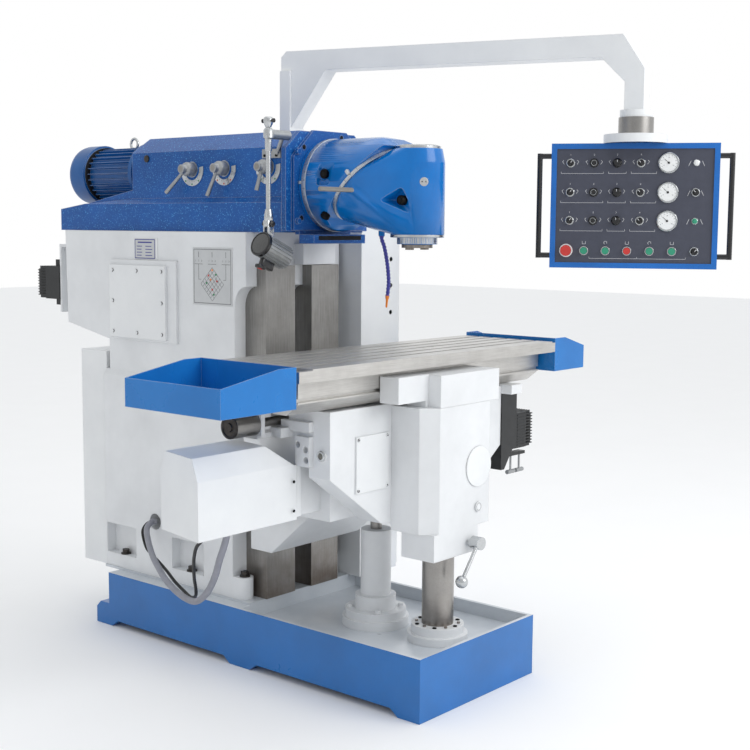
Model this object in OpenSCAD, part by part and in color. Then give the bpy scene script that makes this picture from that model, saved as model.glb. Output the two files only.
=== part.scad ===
// Universal milling machine: sliding ram with a two-way swivelling head, lifting knee and long table.
// Lengths are millimetres. X runs along the table, Y to the back, Z up; z = 0 is the floor and
// the origin is the middle of the base plan.

/* [Base] */
// Width of the base casting
base_w = 788; // [760:1:840]
// Length of the base casting, front to back
base_l = 1912; // [1890:1:2000]
// Height of the base casting
base_h = 260; // [250:1:275]
// Depth of the coolant pan in the front of the base
pan_depth = 57; // [40:1:80]
// Wall around the coolant pan
pan_wall = 18; // [12:1:26]

/* [Column] */
// Width of the column
column_w = 600; // [590:1:612]
// Height of the column top above the floor
column_top = 1895; // [1880:1:1920]
// Back face of the column head
column_back = 1372; // [1340:1:1400]
// Front plane of the ground ways
way_front = 40; // [34:1:46]
// Width of each ground way
way_w = 181; // [150:1:190]
// Gap between the two ways
way_gap = 108; // [90:1:130]

/* [Ram] */
// Width of the ram slide
ram_w = 524; // [500:1:540]
// Front end of the ram
ram_front = -80; // [-100:1:-70]
// Rear end of the ram
ram_back = 1456; // [1420:1:1500]
// Radius of the main motor over its fins
motor_r = 130; // [116:1:138]
// Radius of the motor fan cover
fan_cover_r = 147; // [140:1:152]

/* [Head] */
// Radius of the first graduated ring
ring_r = 200; // [190:1:202]
// Height of the swivel axis
swivel_z = 2098; // [2094:1:2102]
// Distance of the spindle axis in front of the origin
spindle_reach = 606; // [596:1:620]
// Radius of the head barrel around the spindle
barrel_r = 112; // [106:1:120]
// Bore of the spindle bearings in the head
bearing_bore_r = 80; // [74:1:84]
// Pilot diameter of the spindle nose
nose_d = 128.57; // [120:0.01:136]

/* [Table] */
// Length of the table plate
table_l = 1595; // [1500:1:1700]
// Front to back size of the table
table_w = 500; // [490:1:504]
// Height of the table top at rest
table_top = 1408; // [1400:1:1420]
// Width of the T-slot mouth
slot_w = 18; // [14:1:22]
// Distance between T-slots
slot_pitch = 80; // [70:1:90]
// Length of each chip tray
tray_l = 369; // [340:1:400]

/* [Knee] */
// Width of the front plate of the knee
knee_w = 1144; // [1120:1:1160]
// Height of the knee top at rest
knee_top = 1213; // [1208:1:1218]
// Radius of the ground support column
support_r = 67; // [58:1:72]
// Radius of the lift tube
lift_tube_r = 66; // [60:1:70]

/* [Pendant] */
// Reach of the pendant arm
arm_reach = 1705; // [1640:1:1740]
// Width of the control panel
panel_w = 730; // [680:1:780]
// Height of the control panel
panel_h = 550; // [500:1:560]
// Depth of the control panel
panel_d = 42; // [38:1:52]

/* [Hidden] */

// Clearances and the overrun of every cut
gap = 0.3;   // between faces that slide on each other
run_gap = 0.05;    // radial clearance of a shaft in its bore
over = 1;          // how far a cut runs past the face that it opens
tiny_r = 7;        // socket screw head
fn_big = 96;
fn_mid = 64;
fn_low = 32;
fn_hull = 32;

// Base
base_half = base_w / 2;
base_front = -base_l / 2;
base_back = base_l / 2;
pan_floor = base_h - pan_depth;
pan_back = 50;           // where the pan ends and the column deck begins
foot_gap = 30;           // height of the underside above the floor between the feet
foot_front_l = 109;
foot_mid_front = -12;
foot_mid_back = 113;
foot_slope = 42;
foot_rear_l = 116;
foot_rear_h = 107;
foot_tab = 94;           // how far the rear foot stands out behind the base
base_skin = 24;          // thickness of the deck and side walls over the hollow underside
anchor_x = 330;
anchor_hole_r = 14;
plinth_h = 11;           // raised edge that the column stands on
plinth_x = 326;

// Column
column_half = column_w / 2;
column_face_low = 168;   // front face below the cove
column_face_top = 97;    // front face above the cove
cove_z0 = 1570;
cove_z1 = 1660;
column_tail_y = 1039;    // back face of the lower part
column_tail_z = 1379;    // underside of the overhang at the lower part
column_head_z = 1443;    // underside of the overhang at its back end
bulge_out = 20;          // how far the lower casting stands out at each side
bulge_z = 1207;
bulge_chamfer_z = 1235;
bulge_back = 1065;
column_wall = 40;
hollow_y0 = 215;
hollow_y1 = 990;
hollow_z1 = 1640;
hollow_rise = 1500;      // floor of the hollow in the overhang
hollow_roof = 1695;
column_base_z = base_h + plinth_h;
pocket_depth = 50;
pocket_w = 218;
pocket_h = 146;
pocket_z = 335;
pocket_front_y = 359;
pocket_rear_y = 836;
bolt_r = 14;
bolt_head_r = 18;
bolt_head_h = 18;
bolt_washer_r = 24;
bolt_washer_h = 6;
boss_y = 130;            // hold-down boss at the front corners
boss_r = 38;
boss_x = column_half + bulge_out - boss_r;
boss_top_z = 369;
cable_hole_y = 694;
cable_hole_z = 537;
cable_hole_r = 38;
guide_x = 110;           // half width over the two guide rails on the column top
guide_w = 40;
guide_h = 40;
screw_slot_y0 = 300;
screw_slot_z = 1745;
ram_screw_z = 1790;
ram_screw_r = 20;
top_block_x = 210;
top_block_z0 = 1752;
top_block_z1 = 1845;
way_z0 = column_base_z;
way_z1 = 1750;
way_x0 = way_gap / 2;
way_x1 = way_x0 + way_w;

// Covers on the left side of the column
cover_boss_y0 = 538;
cover_boss_y1 = 1011;
cover_boss_z0 = 1384;
cover_boss_z1 = 1761;
cover_boss_out = 12;
cover_edge = 24;
cover_t = 13;
cover_edge_front = 62;
cover_screw_in = 26;
cover_screw_h = 5;
data_plate_y = [676, 839];
data_plate_z = [1764, 1862];
chart_plate_y = [179, 436];
chart_plate_z = [1570, 1827];
plate_t = 2;

// Cabinets
rear_cab_y1 = 1260;
rear_cab_z0 = base_h + 2;
rear_cab_z1 = 1317;
rear_cab_wall = 3;
cab_x1 = 590;
cab_front = -25;
cab_back = 700;
cab_z0 = column_base_z + gap;
cab_z1 = 1960;
cab_wall = 4;
cab_lip = 30;
door_t = 20;
door_edge = 12;
door_hinge_r = 9;
door_hinge_in = 2;
door_hinge_h = 90;
door_handle_z = 1150;
cab_hole_r = 11;
cab_hole_x = 534;
cab_hole_z = [1519, 1646, 1770];

// Ram
ram_z0 = column_top + gap;
ram_half = ram_w / 2;
ram_crease_z = 2023;
ram_shoulder_z = 2046;
ram_rear_z = 1999;
ram_wedge_y = 1262;
housing_half = 235;
housing_front = ram_front;
housing_back = 930;
housing_crease_back = 2258;
housing_crease_front = 2243;
housing_top = 2328;
housing_top_half = 150;
housing_rear_z = 2087;
housing_wall = 30;
neck_r = 122;
motor_y0 = 1050;
motor_y1 = 1562;
motor_z = 2174;
motor_flange_t = 26;
motor_flange_r = 148;
motor_room_gap = 3;
fan_cover_l = 140;
fin_h = 16;
fin_w = 6;
fin_count = 28;
motor_box_w = 120;
motor_box_l = 150;
motor_box_h = 60;
eye_r = 26;
eye_back = 150;          // lifting eye behind the motor flange
eye_wire_r = 7;
ram_nut_y = 1000;
ram_nut_l = 90;
ram_nut_x = 52;
ram_nut_z0 = 1752;

// Speed levers on the left side of the gear housing
lever_y = [507, 297, 23];
lever_turns = [-41, -66, -80];
lever_z = 2173;
lever_hub_r = 32;
lever_hub_l = 58;
lever_cap_r = 20;
lever_cap_l = 14;
lever_rod_r = 8;
lever_rods = [158, 132, 102];
lever_shaft_r = 12;
lever_shaft_l = 24;
dial_r0 = 42;
dial_r1 = 78;
dial_t = 4;

// Flange between the ram and the swivel housing
flange_t = 25;
flange_half = 262;
flange_top_half = 174;
flange_top_z = 2324;
flange_side_z = 2250;
flange_z0 = 1902;
ring_plate_t = 15;
ring_plate_half = 228;
ring_plate_top_half = 105;
ring_plate_z1 = 2330;
ring_plate_z0 = 1905;
ring_plate_side_z = 2215;
flange_bolt_x = 168;
low_block_x = [-178, 152];
low_block_z0 = 1849;
low_block_z1 = 1888;
low_block_l = 86;
low_slot_h = 16;
low_slot_in = 30;

// Swivelling head
ring_t = 37;
ring_y = ram_front - flange_t - ring_plate_t - ring_t;   // front face of the first ring
tilt_y = -382;           // centre of the slanted ring
tilt_z = 2090;
tilt_r = 205;
tilt_t = 16;
housing_r = 197;
housing_top_pts = [[-422, 2295], [-477, 2284]];
housing_slant_y = -523;
housing_low_z = 1956;
housing_low = [-205, 1908];
pin_x = 385;
pin_in = 170;
pin_y = -414;
pin_z = 2071;
pin_r = 9.5;
recess_y = -240;
recess_z = 2138;
recess_r = 26;
spindle_y = -spindle_reach;
barrel_z0 = 1893;
barrel_z1 = 2240;
barrel_top_r = 101;
cap_r = 94;
cap_t = 15;
bottom_ring_t = 13;
cover_ring_r = 84;
cover_ring_z0 = 1852;
nose_z0 = 1837;
spindle_r = 48;
spindle_top = 2225;
bearing_low_z = 1896;
bearing_low_h = 64;
bearing_high_z = 2140;
bearing_high_h = 50;
taper_r = 34.9;
taper_len = 102;
taper_small_r = 20;
drawbar_r = 13;
nose_bolt_r = 50.8;
nose_bolt_hole_r = 8;
nose_bolt_depth = 24;
nose_key_w = 25.4;
nose_key_h = 8;
nose_key_r0 = 37;
nose_key_r1 = 62;
hose_r = 9;
hose_sides = 8;
hose_route = [[17, -400, 1884], [17, -400, 1874], [22, -400, 1862], [34, -400, 1840], [46, -400, 1805], [56, -400, 1765],
    [63, -400, 1725], [66, -400, 1690], [63, -400, 1655], [58, -400, 1628]];
gland_l = 60;
nozzle_l = 50;

// Lamp
lamp_x = -358;
lamp_y = -100;
lamp_plate = [16, 110, 38];
lamp_plate_z = 2209;
lamp_plate_y = -64;
lamp_pivot_z = 2300;
lamp_pin_r = 9;
lamp_boss_r = 20;
lamp_arm_top = 2352;
lamp_joint_z = 1931;
lamp_arm_r = 11;
lamp_head_r = 52;
lamp_head_l = 145;
lamp_tilt = 24;
lamp_shift = 27;
lamp_neck = 62;

// Table
table_half = table_l / 2;
table_y1 = -265;
table_y0 = table_y1 - table_w;
table_plate_t = 49;
table_body_y0 = -690;
table_z0 = knee_top + 11;
table_groove_z = 1284;
table_groove_w = 14;
table_groove_d = 12;
slot_count = 5;
slot_depth = 36;
slot_under_w = 32;
slot_under_h = 14;
end_lip_l = 72;
end_lip_drop = 6;
end_lip_t = 42;
end_trough_w = 26;
way_y0 = -560;
way_y1 = -300;
way_h = 40;
nut_slot_y0 = -424;
nut_slot_y1 = -326;
x_screw_y = -375;
x_screw_z = 1158;
x_screw_r = 18;
nut_l = 90;
nut_gap = 6;
nut_z0 = 1118;
dovetail_h = 46;
dovetail_in = 60;

// Trays
tray_x = table_half + 86.5;   // inner end of the left tray
tray_right_x = table_half + 24.5;
tray_right_l = 250;
tray_y0 = table_y0;
tray_y1 = table_y1 + 3;
tray_z0 = 1270;
tray_wall = 5;
tray_inner_z = 1422;
tray_outer_z = 1375;
tray_slope_l = 86;

// Knee
knee_half = knee_w / 2;
knee_y0 = -644;
knee_y1 = -533;
knee_side_z = 948;
knee_low_x = 263;
knee_low_z = 727;
knee_tip_x = 200;
knee_tip_z = 719;
body_x = 450;
body_low_z = 747;
slide_x = 285;
slide_low_z = 505;
cheek_y = 86;
tube_bore_r = 76;
tube_bore_top = 905;
port_x = 595;
port_y = [-555, -480];
port_z = [991, 1110];
port_hole_r = 13;
port_holes = [[-494, 1076], [-536, 1059], [-538, 1018]];
saddle_y = [-555, -403];
saddle_z = [1128, 1167];
pad_x = 640;
pad_y = [-447, -387];
pad_z = [1100, 1139];
stop_x = 655;
stop_y = [-700, -644];
stop_z = [1180, 1222];
coupling_x = [-842, -720];
coupling_r = 45;
coupling_wall_t = 20;
screw_end_x = 588;
gear_x = [-202, 200];
gear_y0 = -848;
gear_z0 = 690;
gear_z1 = 1205;
gear_cut = 60;
low_box_x = [-175, 71];
low_box_z0 = 580;
low_box_y1 = -680;
support_y = -737;
support_top = 880;
support_bore_top = 1130;
support_flange_r = [127, 111];
support_flange_h = [34, 37];
top_cover_x = [-144, 258];
top_cover_y1 = -693;
top_cover_z1 = 1336;
limit_x = [-335, -163];
limit_z = [1232, 1338];
disc_x = 118;
disc_z = 937;
disc_r = 85;
disc_t = 6;
sight_z = 766;
sight_r = 21;
sight_t = 8;
knee_lever_x = 91;
knee_lever_z = 619;
knee_lever_r = 27;
knee_lever_l = 46;
rib_x = 120;
core_x = 40;
core_z1 = 1075;
knee_cap = [54, 626];
knee_ball = [-53, 488];
knee_rod_r = 8;
knee_ball_r = 26;
cover_plate_x = [-425, -225];
cover_plate_z = [872, 1100];
cover_plate_t = 8;
side_sight_y = -607;
side_sight_z = 1041;
lift_y = -396;
lift_tube_top = 623;
lift_flange_r = [145, 133, 89];
lift_flange_h = [38, 34, 60];
lift_bore_r = 40;
lift_nut_h = 70;
z_screw_r = 25;
z_screw_z0 = 330;
z_screw_z1 = 1010;
hood_x0 = -1111;
hood_x1 = -595;
hood_wall = 5;
hood_top_x = 760;        // where the top edge ends and the slanted edge begins
hood_low_x = 609;
hood_slant_z = 994;
hood_low_z = 787;
hood_lip = 20;
hood_profile = [[-314, 1096], [-457, 1083], [-488, 998], [-490, 776], [-287, 797], [-282, 1016]];
x_motor_x = [-1060, -800];
x_motor_y = [-450, -330];
x_motor_z = [840, 960];
x_motor_base_z = 801;
end_cover_x = 690;
end_cover_y = [-650, -540];
end_cover_z = [830, 955, 1180];
end_cover_low_x = 598;
lift_box_y = [-600, -440];
lift_box_z = [862, 1080];
z_motor_x = [690, 905];
z_motor_y = [-600, -440];
z_motor_z = [900, 1066];
z_motor_cap = 60;
z_motor_box_h = 30;
handle_x = [850, 780];
handle_y = -560;
handle_shelf_t = 14;
handle_stem_r = 5;
handle_stem_l = 78;
handle_bar_r = 10;
handle_bar_l = 56;

// Drive of the ram behind the column
bracket_x = [-215, 60];
bracket_y1 = 1540;
bracket_z0 = 1480;
bracket_z1 = 1824;
bracket_wall = 14;
ram_motor_x = -137;
ram_motor_z = 1628;
ram_motor_half = 84;
ram_motor_y1 = 1735;
ram_motor_box = 116;      // connector boxes above and below the motor
ram_motor_cap = 80;

// Pendant
post_x = 467;
post_y = 563;
arm_turn = 16.9;         // degrees that the arm points away from straight ahead
arm_top = 2766;
arm_h = 95;
arm_w = 119;
arm_wall = 6;
post_w = 150;
post_t = 54;
post_base_t = 24;
post_base = 200;
post_foot_h = 110;
pivot_r = 38;
pivot_h = 90;
gusset = 185;
gusset_h = 270;
foot_collar_r = 74;
drop_w = 85;
drop_z = 2440;
drop_slant = 110;
turret_ring_r = 72;
turret_ring_h = 31;
turret_r = 77;
turret_pin_r = 20;
turret_pin_h = 40;
turret_disc_r = 140;
turret_disc_h = 38;
panel_turn = -61.3;
panel_z1 = 2296;
panel_z0 = panel_z1 - panel_h;
panel_frame = 24;
panel_recess = 6;
panel_front = 35;        // panel face in front of the drop axis
handle_tube_r = 12;
handle_out = 52;
handle_span_share = 0.8;
col_shares = [0.116, 0.258, 0.396, 0.537, 0.70, 0.863];
row_shares = [0.156, 0.39, 0.617];
button_row_share = 0.86;
button_shares = [0.207, 0.337, 0.466, 0.60, 0.733];
stop_share = 0.099;
switch_share = 0.865;
knob_r = 17;
knob_h = 22;
knob_collar_r = 24;
knob_collar_h = 5;
gauge_r = 42;
gauge_h = 12;
button_r = 15;
button_h = 12;
button_shaft_r = 8;
button_travel = 4;
stop_r = 24;
stop_h = 20;

// Routes of the conduit and the cable, chosen by hand in round numbers
conduit_r = 14;
conduit_sides = 10;
conduit_route = [[-322, 694, 537], [-345, 694, 537], [-396, 664, 521], [-436, 608, 482], [-482, 520, 430],
    [-530, 420, 400], [-580, 315, 378], [-622, 205, 362], [-664, 95, 360], [-705, -10, 375], [-735, -90, 412],
    [-765, -165, 468], [-800, -240, 545], [-832, -300, 625], [-850, -345, 690], [-855, -366, 737],
    [-855, -366, 762]];
cable_r = 7;
cable_sides = 8;
cable_route = [[-322, 716, 530], [-352, 716, 530], [-400, 690, 503], [-421, 640, 442], [-441, 572, 420],
    [-464, 500, 405], [-495, 410, 386], [-530, 315, 362], [-568, 205, 344], [-612, 115, 348], [-655, 40, 378],
    [-715, -30, 432], [-785, -100, 502], [-850, -170, 572], [-910, -240, 640], [-950, -300, 700],
    [-968, -354, 741], [-968, -354, 762]];

// A box between two corners
module block(lo, hi) { translate(lo) cube(hi - lo); }

// An outline in Y and Z drawn out along X, one in X and Z along Y, one in X and Y along Z
module along_x(x0, x1, outline) {
    translate([x0, 0, 0]) rotate([90, 0, 90]) linear_extrude(x1 - x0) polygon(outline);
}
module along_y(y0, y1, outline) {
    translate([0, y1, 0]) rotate([90, 0, 0]) linear_extrude(y1 - y0) polygon(outline);
}
module along_z(z0, z1, outline) { translate([0, 0, z0]) linear_extrude(z1 - z0) polygon(outline); }

// Round bars along the three axes, each from a start point
module rod_x(p, r, l, fn = fn_mid) { translate(p) rotate([0, 90, 0]) cylinder(r = r, h = l, $fn = fn); }
module rod_y(p, r, l, fn = fn_mid) { translate(p) rotate([-90, 0, 0]) cylinder(r = r, h = l, $fn = fn); }
module rod_z(p, r, l, fn = fn_mid) { translate(p) cylinder(r = r, h = l, $fn = fn); }

// A round bar between two points
module bar(a, b, r, fn = fn_low) {
    d = b - a;
    l = norm(d);
    translate(a) rotate([0, acos(d.z / l), atan2(d.y, d.x)]) cylinder(r = r, h = l, $fn = fn);
}

// A tube swept along a route, as one closed solid
function unit(v) = v / norm(v);
function heading(path, i) =
    unit(path[min(i + 1, len(path) - 1)] - path[max(i - 1, 0)]);
function ring_point(c, t, r, a) =
    let (s = unit(cross(t, [0, 0.3, 1])), u = cross(t, s)) c + r * (cos(a) * s + sin(a) * u);
module swept_tube(path, r, sides) {
    n = len(path);
    points = [for (i = [0:n - 1]) for (k = [0:sides - 1])
        ring_point(path[i], heading(path, i), r, 360 * k / sides)];
    walls = [for (i = [0:n - 2]) for (k = [0:sides - 1])
        [i * sides + k, (i + 1) * sides + k, (i + 1) * sides + (k + 1) % sides, i * sides + (k + 1) % sides]];
    ends = [[for (k = [0:sides - 1]) k], [for (k = [0:sides - 1]) n * sides - 1 - k]];
    polyhedron(points, concat(walls, ends));
}

// Base with the coolant pan in front and the deck that carries the column
module base_tray() {
    color("RoyalBlue") difference() {
        union() {
            block([-base_half, base_front, foot_gap], [base_half, base_back, base_h]);
            block([-plinth_x, pan_back, base_h - over], [plinth_x, bulge_back, column_base_z]);
            along_x(-base_half, base_half, [[base_front, 0], [base_front + foot_front_l, 0],
                [base_front + foot_front_l + foot_slope, foot_gap + over], [base_front, foot_gap + over]]);
            along_x(-base_half, base_half, [[foot_mid_front, 0], [foot_mid_back, 0],
                [foot_mid_back + foot_slope, foot_gap + over], [foot_mid_front - foot_slope, foot_gap + over]]);
            along_x(-base_half, base_half, [[base_back + foot_tab - foot_rear_l, 0], [base_back + foot_tab, 0],
                [base_back + foot_tab, foot_rear_h - foot_gap], [base_back + foot_tab - foot_gap, foot_rear_h],
                [base_back - over, foot_rear_h], [base_back + foot_tab - foot_rear_l - foot_slope, foot_gap + over]]);
        }
        block([-base_half + pan_wall, base_front + pan_wall, pan_floor],
            [base_half - pan_wall, pan_back, base_h + over]);
        // Hollow underside between the three feet
        for (y = [[base_front + foot_front_l + foot_slope, foot_mid_front - foot_slope],
            [foot_mid_back + foot_slope, base_back - foot_slope - foot_rear_l + foot_tab]])
            block([-base_half + base_skin, y[0], foot_gap - over],
                [base_half - base_skin, y[1], pan_floor - base_skin]);
        rod_z([0, lift_y, foot_gap - over], lift_bore_r, base_h);
        for (x = [-anchor_x, anchor_x]) for (y = [base_front + foot_front_l / 2, base_back + foot_tab / 2])
            rod_z([x, y, -over], anchor_hole_r, foot_rear_h + over * 2, fn_low);
    }
}

// Bolts that hold the column to the base, in the pockets and the corner bosses
function hold_down_points() = [for (s = [-1, 1]) for (y = [pocket_front_y, pocket_rear_y])
    [s * (column_half + bulge_out - pocket_depth / 2), y + pocket_w / 2, pocket_z]];
module hex_bolt(p) {
    rod_z(p, bolt_washer_r, bolt_washer_h, fn_low);
    rod_z([p.x, p.y, p.z + bolt_washer_h], bolt_head_r, bolt_head_h, 6);
}
module hold_down_bolts() {
    color("Silver") {
        for (p = hold_down_points()) hex_bolt(p);
        for (s = [-1, 1]) hex_bolt([s * boss_x, boss_y, boss_top_z]);
    }
}

// Column casting
function cove(n = 8) = [for (i = [0:n]) let (a = 90 * i / n)
    [column_face_low - (column_face_low - column_face_top) * (1 - cos(a)),
        cove_z0 + (cove_z1 - cove_z0) * sin(a)]];
module column_side_outline() {
    along_x(-column_half, column_half, concat([[column_face_low, column_base_z]], cove(),
        [[column_face_top, column_top], [column_back, column_top], [column_back - column_wall / 4, column_head_z],
        [column_tail_y, column_tail_z], [column_tail_y, column_base_z]]));
}
module column() {
    bulge_x = column_half + bulge_out;
    color("WhiteSmoke") difference() {
        union() {
            column_side_outline();
            along_y(column_face_low, bulge_back, [[-bulge_x, column_base_z], [bulge_x, column_base_z],
                [bulge_x, bulge_z], [column_half, bulge_chamfer_z], [-column_half, bulge_chamfer_z],
                [-bulge_x, bulge_z]]);
            for (s = [-1, 1]) {
                rod_z([s * boss_x, boss_y, column_base_z], boss_r, boss_top_z - column_base_z);
                block([s * boss_x - boss_r, boss_y, column_base_z],
                    [s * boss_x + boss_r, column_face_low + over, boss_top_z]);
            }
            for (s = [-1, 1]) block([s > 0 ? guide_x - guide_w : -guide_x, column_face_top, column_top - over],
                [s > 0 ? guide_x : guide_w - guide_x, column_back, column_top + guide_h]);
            block([0, way_front, top_block_z0], [top_block_x, column_face_top + over, top_block_z1]);
            block([-column_half - cover_boss_out, cover_boss_y0, cover_boss_z0],
                [-column_half + over, cover_boss_y1, cover_boss_z1]);
        }
        block([-column_half + column_wall, hollow_y0, column_base_z - over],
            [column_half - column_wall, hollow_y1, hollow_z1]);
        block([-column_half + column_wall, hollow_y0, hollow_rise],
            [column_half - column_wall, column_back - column_wall, hollow_roof]);
        // Slot for the ram screw and its nut, and the bearing bore in the back wall
        block([guide_w - guide_x - gap, screw_slot_y0, screw_slot_z],
            [guide_x - guide_w + gap, column_back - column_wall, column_top + guide_h + over]);
        rod_y([0, column_back - column_wall - over, ram_screw_z], ram_screw_r + run_gap, column_wall + over * 2);
        for (s = [-1, 1]) for (y = [pocket_front_y, pocket_rear_y])
            block([s > 0 ? bulge_x - pocket_depth : -bulge_x - over, y, pocket_z],
                [s > 0 ? bulge_x + over : pocket_depth - bulge_x, y + pocket_w, pocket_z + pocket_h]);
        rod_x([-bulge_x - over, cable_hole_y, cable_hole_z], cable_hole_r, column_wall + bulge_out + over * 2);
    }
}

// Ground ways on the front of the column
module column_ways() {
    outline = concat([[way_front, way_z0], [way_front, way_z1], [column_face_top, way_z1]],
        [for (i = [len(cove()) - 1:-1:0]) cove()[i]], [[column_face_low, way_z0]]);
    color("Gainsboro") for (s = [-1, 1]) along_x(s > 0 ? way_x0 : -way_x1, s > 0 ? way_x1 : -way_x0, outline);
}

// Cover plate with its screws, the data plate and the chart on the left side of the column
module side_covers() {
    x = -column_half - cover_boss_out;
    y0 = cover_boss_y0 + cover_edge_front;
    y1 = cover_boss_y1 - cover_edge / 3;
    z0 = cover_boss_z0 + cover_edge / 2;
    z1 = cover_boss_z1 - cover_edge;
    color("White") block([x - cover_t, y0, z0], [x, y1, z1]);
    color("DimGray") {
        for (y = [y0 + cover_screw_in, (y0 + y1) / 2, y1 - cover_screw_in])
            for (z = [z0 + cover_screw_in, (z0 + z1) / 2, z1 - cover_screw_in])
                if (y != (y0 + y1) / 2 || z != (z0 + z1) / 2)
                    rod_x([x - cover_t - cover_screw_h, y, z], tiny_r, cover_screw_h, fn_low);
    }
    color("Lavender") {
        block([-column_half - plate_t, data_plate_y[0], data_plate_z[0]],
            [-column_half, data_plate_y[1], data_plate_z[1]]);
        block([-column_half - plate_t, chart_plate_y[0], chart_plate_z[0]],
            [-column_half, chart_plate_y[1], chart_plate_z[1]]);
    }
}

// Cabinet on the back of the column
module rear_cabinet() {
    color("White") difference() {
        block([-column_half, bulge_back, rear_cab_z0], [column_half, rear_cab_y1, rear_cab_z1]);
        block([rear_cab_wall - column_half, bulge_back + rear_cab_wall, rear_cab_z0 + rear_cab_wall],
            [column_half - rear_cab_wall, rear_cab_y1 - rear_cab_wall, rear_cab_z1 - rear_cab_wall]);
    }
}

// Electrical cabinet on the right of the column: a box open to the right, closed by its door
module electrical_cabinet() {
    x0 = column_half + bulge_out;
    color("White") difference() {
        union() {
            block([x0, cab_front, cab_z0], [cab_x1, cab_back, cab_z1]);
            block([column_half, column_face_low + boss_r, bulge_z + bulge_out + cab_lip],
                [x0 + over, cab_back - cab_lip, bulge_z + bulge_out + cab_lip * 2]);
        }
        block([x0 + cab_wall, cab_front + cab_wall, cab_z0 + cab_wall],
            [cab_x1 - cab_wall, cab_back - cab_wall, cab_z1 - cab_wall]);
        block([cab_x1 - cab_wall - over, cab_front + cab_lip, cab_z0 + cab_lip],
            [cab_x1 + over, cab_back - cab_lip, cab_z1 - cab_lip]);
        for (z = cab_hole_z) if (z < cab_z1 - cab_lip)
            rod_y([cab_hole_x, cab_front - over, z], cab_hole_r, cab_wall + over * 2, fn_low);
    }
}
module cabinet_door() {
    x = cab_x1 + gap;
    color("WhiteSmoke") {
        difference() {
            block([x, cab_front + door_edge, cab_z0 + door_edge],
                [x + door_t, cab_back - door_edge, cab_z1 - door_edge]);
            block([x - over, cab_front + door_edge * 3, cab_z0 + door_edge * 3],
                [x + door_t - cab_wall, cab_back - door_edge * 3, cab_z1 - door_edge * 3]);
        }
        for (z = [cab_z0 + door_hinge_h * 2, cab_z1 - door_hinge_h * 3])
            rod_z([x + door_t, cab_back - door_edge - door_hinge_in, z], door_hinge_r, door_hinge_h, fn_low);
        rod_x([x + door_t, cab_front + door_edge * 5, door_handle_z], door_edge, door_t, fn_low);
    }
}

// Lift tube with its flange and the bronze nut of the elevating screw in its top
module lift_tube() {
    z1 = pan_floor + lift_flange_h[0];
    z2 = z1 + lift_flange_h[1];
    color("White") difference() {
        union() {
            rod_z([0, lift_y, pan_floor], lift_flange_r[0], lift_flange_h[0], fn_big);
            rod_z([0, lift_y, z1], lift_flange_r[1], lift_flange_h[1], fn_big);
            rod_z([0, lift_y, z2], lift_flange_r[2], lift_flange_h[2], fn_big);
            rod_z([0, lift_y, z2], lift_tube_r, lift_tube_top - z2, fn_big);
            for (a = [45:90:315]) translate([0, lift_y, 0]) rotate(a)
                rod_z([lift_flange_r[1] - bolt_r * 1.5, 0, z1], bolt_r, lift_flange_h[1] + bolt_r, 6);
        }
        rod_z([0, lift_y, pan_floor - over], lift_bore_r, lift_tube_top - lift_nut_h - pan_floor + over, fn_big);
        rod_z([0, lift_y, lift_tube_top - lift_nut_h - over], z_screw_r + run_gap, lift_nut_h + over * 2, fn_big);
    }
}

// Ground support column with its two-step flange
module support_column() {
    z1 = pan_floor + support_flange_h[0];
    color("Silver") {
        rod_z([0, support_y, pan_floor], support_r, support_top - pan_floor, fn_big);
        rod_z([0, support_y, pan_floor], support_flange_r[0], support_flange_h[0], fn_big);
        rod_z([0, support_y, z1], support_flange_r[1], support_flange_h[1], fn_big);
        for (a = [0:60:300]) translate([0, support_y, 0]) rotate(a)
            rod_z([(support_flange_r[1] + support_r) / 2, 0, z1], tiny_r, support_flange_h[1] + tiny_r, fn_low);
    }
}

// Bracket, motor and screw that drive the ram
module ram_drive_bracket() {
    color("WhiteSmoke") difference() {
        block([bracket_x[0], column_back, bracket_z0], [bracket_x[1], bracket_y1, bracket_z1]);
        block([bracket_x[0] - over, column_back + bracket_wall, bracket_z0 - over],
            [bracket_x[0] + bracket_wall * 3, bracket_y1 - bracket_wall, bracket_z1 - bracket_wall]);
        rod_y([0, column_back - over, ram_screw_z], ram_screw_r + run_gap, bracket_wall * 2 + over);
        rod_y([ram_motor_x, bracket_y1 - bracket_wall * 4, ram_motor_z], ram_screw_r + run_gap,
            bracket_wall * 4 + over);
    }
}
module ram_feed_motor() {
    color("DimGray") {
        rod_y([ram_motor_x, bracket_y1 - bracket_wall * 3, ram_motor_z], ram_screw_r, bracket_wall * 4);
        translate([ram_motor_x, bracket_y1, ram_motor_z]) {
            block([-ram_motor_half, 0, -ram_motor_half],
                [ram_motor_half, ram_motor_y1 - bracket_y1 - ram_motor_cap, ram_motor_half]);
            block([-ram_motor_half * 0.8, ram_motor_y1 - bracket_y1 - ram_motor_cap - over, -ram_motor_half * 0.8],
                [ram_motor_half * 0.8, ram_motor_y1 - bracket_y1, ram_motor_half * 0.8]);
            for (s = [-1, 1]) block([-ram_motor_half / 2, ram_motor_half / 4, s > 0 ? ram_motor_half - over : -ram_motor_box],
                [ram_motor_half / 2, ram_motor_half, s > 0 ? ram_motor_box : over - ram_motor_half]);
        }
    }
}
module ram_screw() {
    y0 = screw_slot_y0 + gap * 2;
    color("Silver") rod_y([0, y0, ram_screw_z], ram_screw_r, column_back + bracket_wall - y0);
}

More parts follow.
